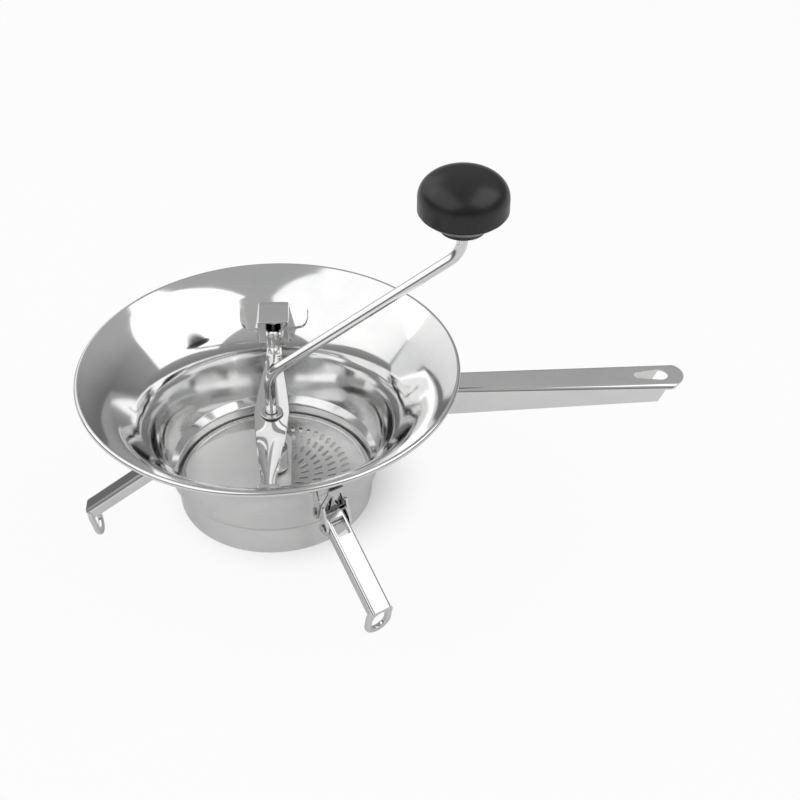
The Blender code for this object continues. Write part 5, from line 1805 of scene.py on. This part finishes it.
    def pin_profile(self) -> list[Vector]:
        """Open section of a rivet along Z, its ends on its axis."""
        half = self.half_bracket() + SEAT_GAP
        end = half + self.head
        dome = [(0, end), (self.head_radius - self.head / 2, end), (self.head_radius, half),
                (self.pin_radius, half)]
        line = [*dome, *[(radius, -height) for radius, height in reversed(dome)]]
        crown = self.head_round_share * self.head
        root = self.head_root_share * self.head
        return rounded_line(line, [crown, root, 0, 0, root, crown], self.head_steps)

    def build(self, shop: Workshop) -> None:
        """Press the leg and its bracket, rivet them and put them in the scene."""
        side = Matrix.Rotation(math.radians(self.azimuth), 4, "Z")
        hinge = side @ Matrix.Translation((self.hinge_radius, 0, self.hinge_height))
        sloped = hinge @ Matrix.Rotation(math.radians(self.slope), 4, "Y")
        shop.placed(f"folding_leg_{self.name}", shaded(self.leg()), shop.pressed_steel, self.body, Slot.STEEL,
                    f"leg_{self.name}", place=sloped)
        shop.placed(f"wall_bracket_{self.name}", shaded(self.bracket()), shop.pressed_steel, Body.MILL,
                    Slot.DULL_STEEL, f"leg_bracket_{self.name}", place=side)
        lying = hinge @ Matrix.Rotation(math.radians(90), 4, "X")
        pin = shaded(turned("hinge_rivet", self.pin_profile(), self.pin_steps, closed=False))
        shop.placed(f"hinge_rivet_{self.name}", pin, shop.dull_steel, Body.MILL, Slot.DULL_STEEL,
                    f"hinge_pin_{self.name}", place=lying)


@dataclass(frozen=True)
class SoftBox:
    """An oblong lamp: where it stands from the mill's axis, how large it is and how bright its face is."""

    name: str
    azimuth: float
    elevation: float
    distance: float
    width: float
    height: float
    brightness: float

    def build(self, target: Vector) -> None:
        """Hang the lamp and turn it to a point."""
        light = bpy.data.lights.new(self.name, "AREA")
        light.shape = "RECTANGLE"
        light.size = self.width
        light.size_y = self.height
        light.energy = self.brightness * math.pi * self.width * self.height
        lamp = bpy.data.objects.new(self.name, light)
        azimuth = math.radians(self.azimuth)
        elevation = math.radians(self.elevation)
        away = Vector((math.cos(elevation) * math.sin(azimuth), math.cos(elevation) * math.cos(azimuth),
                       math.sin(elevation)))
        lamp.location = target + away * self.distance
        lamp.rotation_euler = away.to_track_quat("Z", "Y").to_euler()
        lamp.visible_camera = False
        bpy.context.scene.collection.objects.link(lamp)


@dataclass
class Studio:
    """Camera, white paper floor, pale room and soft lamps."""

    camera_offset: tuple[float, float, float] = (0.0458, -0.6513, 0.5723)
    camera_heading: tuple[float, float] = (0.0454, 0.999)
    camera_pitch: float = 37.92
    lens: float = 63.47
    sensor: float = 36.0
    near: float = 0.01
    floor_size: float = 30.0
    ceiling: float = 0.46
    ceiling_start: float = 0.7
    horizon: float = 0.16
    soft_boxes: list[SoftBox] = field(default_factory=lambda: [
        SoftBox("lamp_right", 102.0, 50.0, 1.6, 1.7, 1.25, 1.1),
        SoftBox("lamp_left", -105.0, 52.0, 1.6, 2.6, 1.5, 0.82),
        SoftBox("lamp_back", -40.0, 28.0, 2.0, 1.6, 1.3, 0.62),
    ])

    def build(self, shop: Workshop) -> None:
        """Set the whole studio up round the mill."""
        self.place_camera(shop.origin)
        self.lay_floor()
        self.paint_room()
        for lamp in self.soft_boxes:
            lamp.build(shop.origin)
        bpy.context.scene.view_settings.view_transform = "Standard"
        LOG.info("studio: %d lamps", len(self.soft_boxes))

    def place_camera(self, origin: Vector) -> None:
        """Stand the camera where the photograph was taken from."""
        data = bpy.data.cameras.new("camera")
        data.sensor_width = self.sensor
        data.lens = self.lens
        data.clip_start = self.near
        camera = bpy.data.objects.new("camera", data)
        camera.location = origin + Vector(self.camera_offset)
        heading = math.atan2(-self.camera_heading[0], self.camera_heading[1])
        camera.rotation_euler = (math.radians(90.0 - self.camera_pitch), 0.0, heading)
        bpy.context.scene.collection.objects.link(camera)
        bpy.context.scene.camera = camera

    def lay_floor(self) -> None:
        """Lay the paper that the feet stand on."""
        half = self.floor_size / 2

        def place(column: int, row: int) -> Vector:
            """Corner of the floor."""
            return Vector(((2 * column - 1) * half, (2 * row - 1) * half, 0))

        mesh = sheet("floor", 1, 1, place)
        mesh.materials.append(Paper("white_paper").made())
        floor = bpy.data.objects.new("floor", mesh)
        bpy.context.scene.collection.objects.link(floor)

    def paint_room(self) -> None:
        """Give the room a dim horizon and a paler ceiling, and make it white to the camera."""
        world = bpy.data.worlds.new("room")
        bpy.context.scene.world = world
        world.use_nodes = True
        nodes = world.node_tree.nodes
        links = world.node_tree.links
        background = nodes["Background"]
        place = nodes.new("ShaderNodeTexCoord")
        parts = nodes.new("ShaderNodeSeparateXYZ")
        links.new(place.outputs["Generated"], parts.inputs["Vector"])
        ramp = nodes.new("ShaderNodeMapRange")
        ramp.interpolation_type = "SMOOTHSTEP"
        ramp.inputs["From Min"].default_value = 0.0
        ramp.inputs["From Max"].default_value = self.ceiling_start
        ramp.inputs["To Min"].default_value = self.horizon
        ramp.inputs["To Max"].default_value = self.ceiling
        links.new(parts.outputs["Z"], ramp.inputs["Value"])
        rays = nodes.new("ShaderNodeLightPath")
        level = nodes.new("ShaderNodeMix")
        links.new(rays.outputs["Is Camera Ray"], level.inputs["Factor"])
        links.new(ramp.outputs["Result"], level.inputs["A"])
        level.inputs["B"].default_value = 1.0
        links.new(level.outputs["Result"], background.inputs["Strength"])
        background.inputs["Color"].default_value = (1.0, 1.0, 1.0, 1.0)


def main() -> None:
    """Build the mill's sub-assemblies in order, then the studio."""
    logging.basicConfig(level=logging.INFO, format="%(name)s %(message)s")
    shop = Workshop()
    bowl = Bowl()
    cross_bar = CrossBar()
    disc = Disc()
    crank = Crank(disc)
    keeper_hole_top = cross_bar.level + cross_bar.neck_hollow + SEAT_GAP
    catch = BarSocket(
        bowl, "rear_catch", "bar_catch", 90.0, width=19.4 * MM, top=76.6 * MM, drop=16.6 * MM,
        wing_start=75.5 * MM, wing_depth=10.0 * MM, wing_width=42.0 * MM, wing_rounding=4.0 * MM,
        hole_top=75.3 * MM, hole_height=9.6 * MM)
    keeper = BarSocket(
        bowl, "front_keeper", "bar_keeper", -90.0, width=12.6 * MM, top=keeper_hole_top + catch.sheet,
        drop=7.6 * MM, wing_start=71.5 * MM, wing_depth=6.0 * MM, wing_width=26.0 * MM,
        wing_rounding=2.0 * MM, hole_top=keeper_hole_top, hole_height=4.9 * MM)
    legs = [Leg(bowl, name, azimuth, Body(f"leg_{name}")) for name, azimuth in LEG_AZIMUTHS.items()]
    middle = [bowl, Handle(bowl), catch, keeper, cross_bar, disc, crank, PressureSpring(crank), Knob()]
    for piece in [*middle, *legs]:
        piece.build(shop)
    Studio().build(shop)


if __name__ == "__main__":
    main()
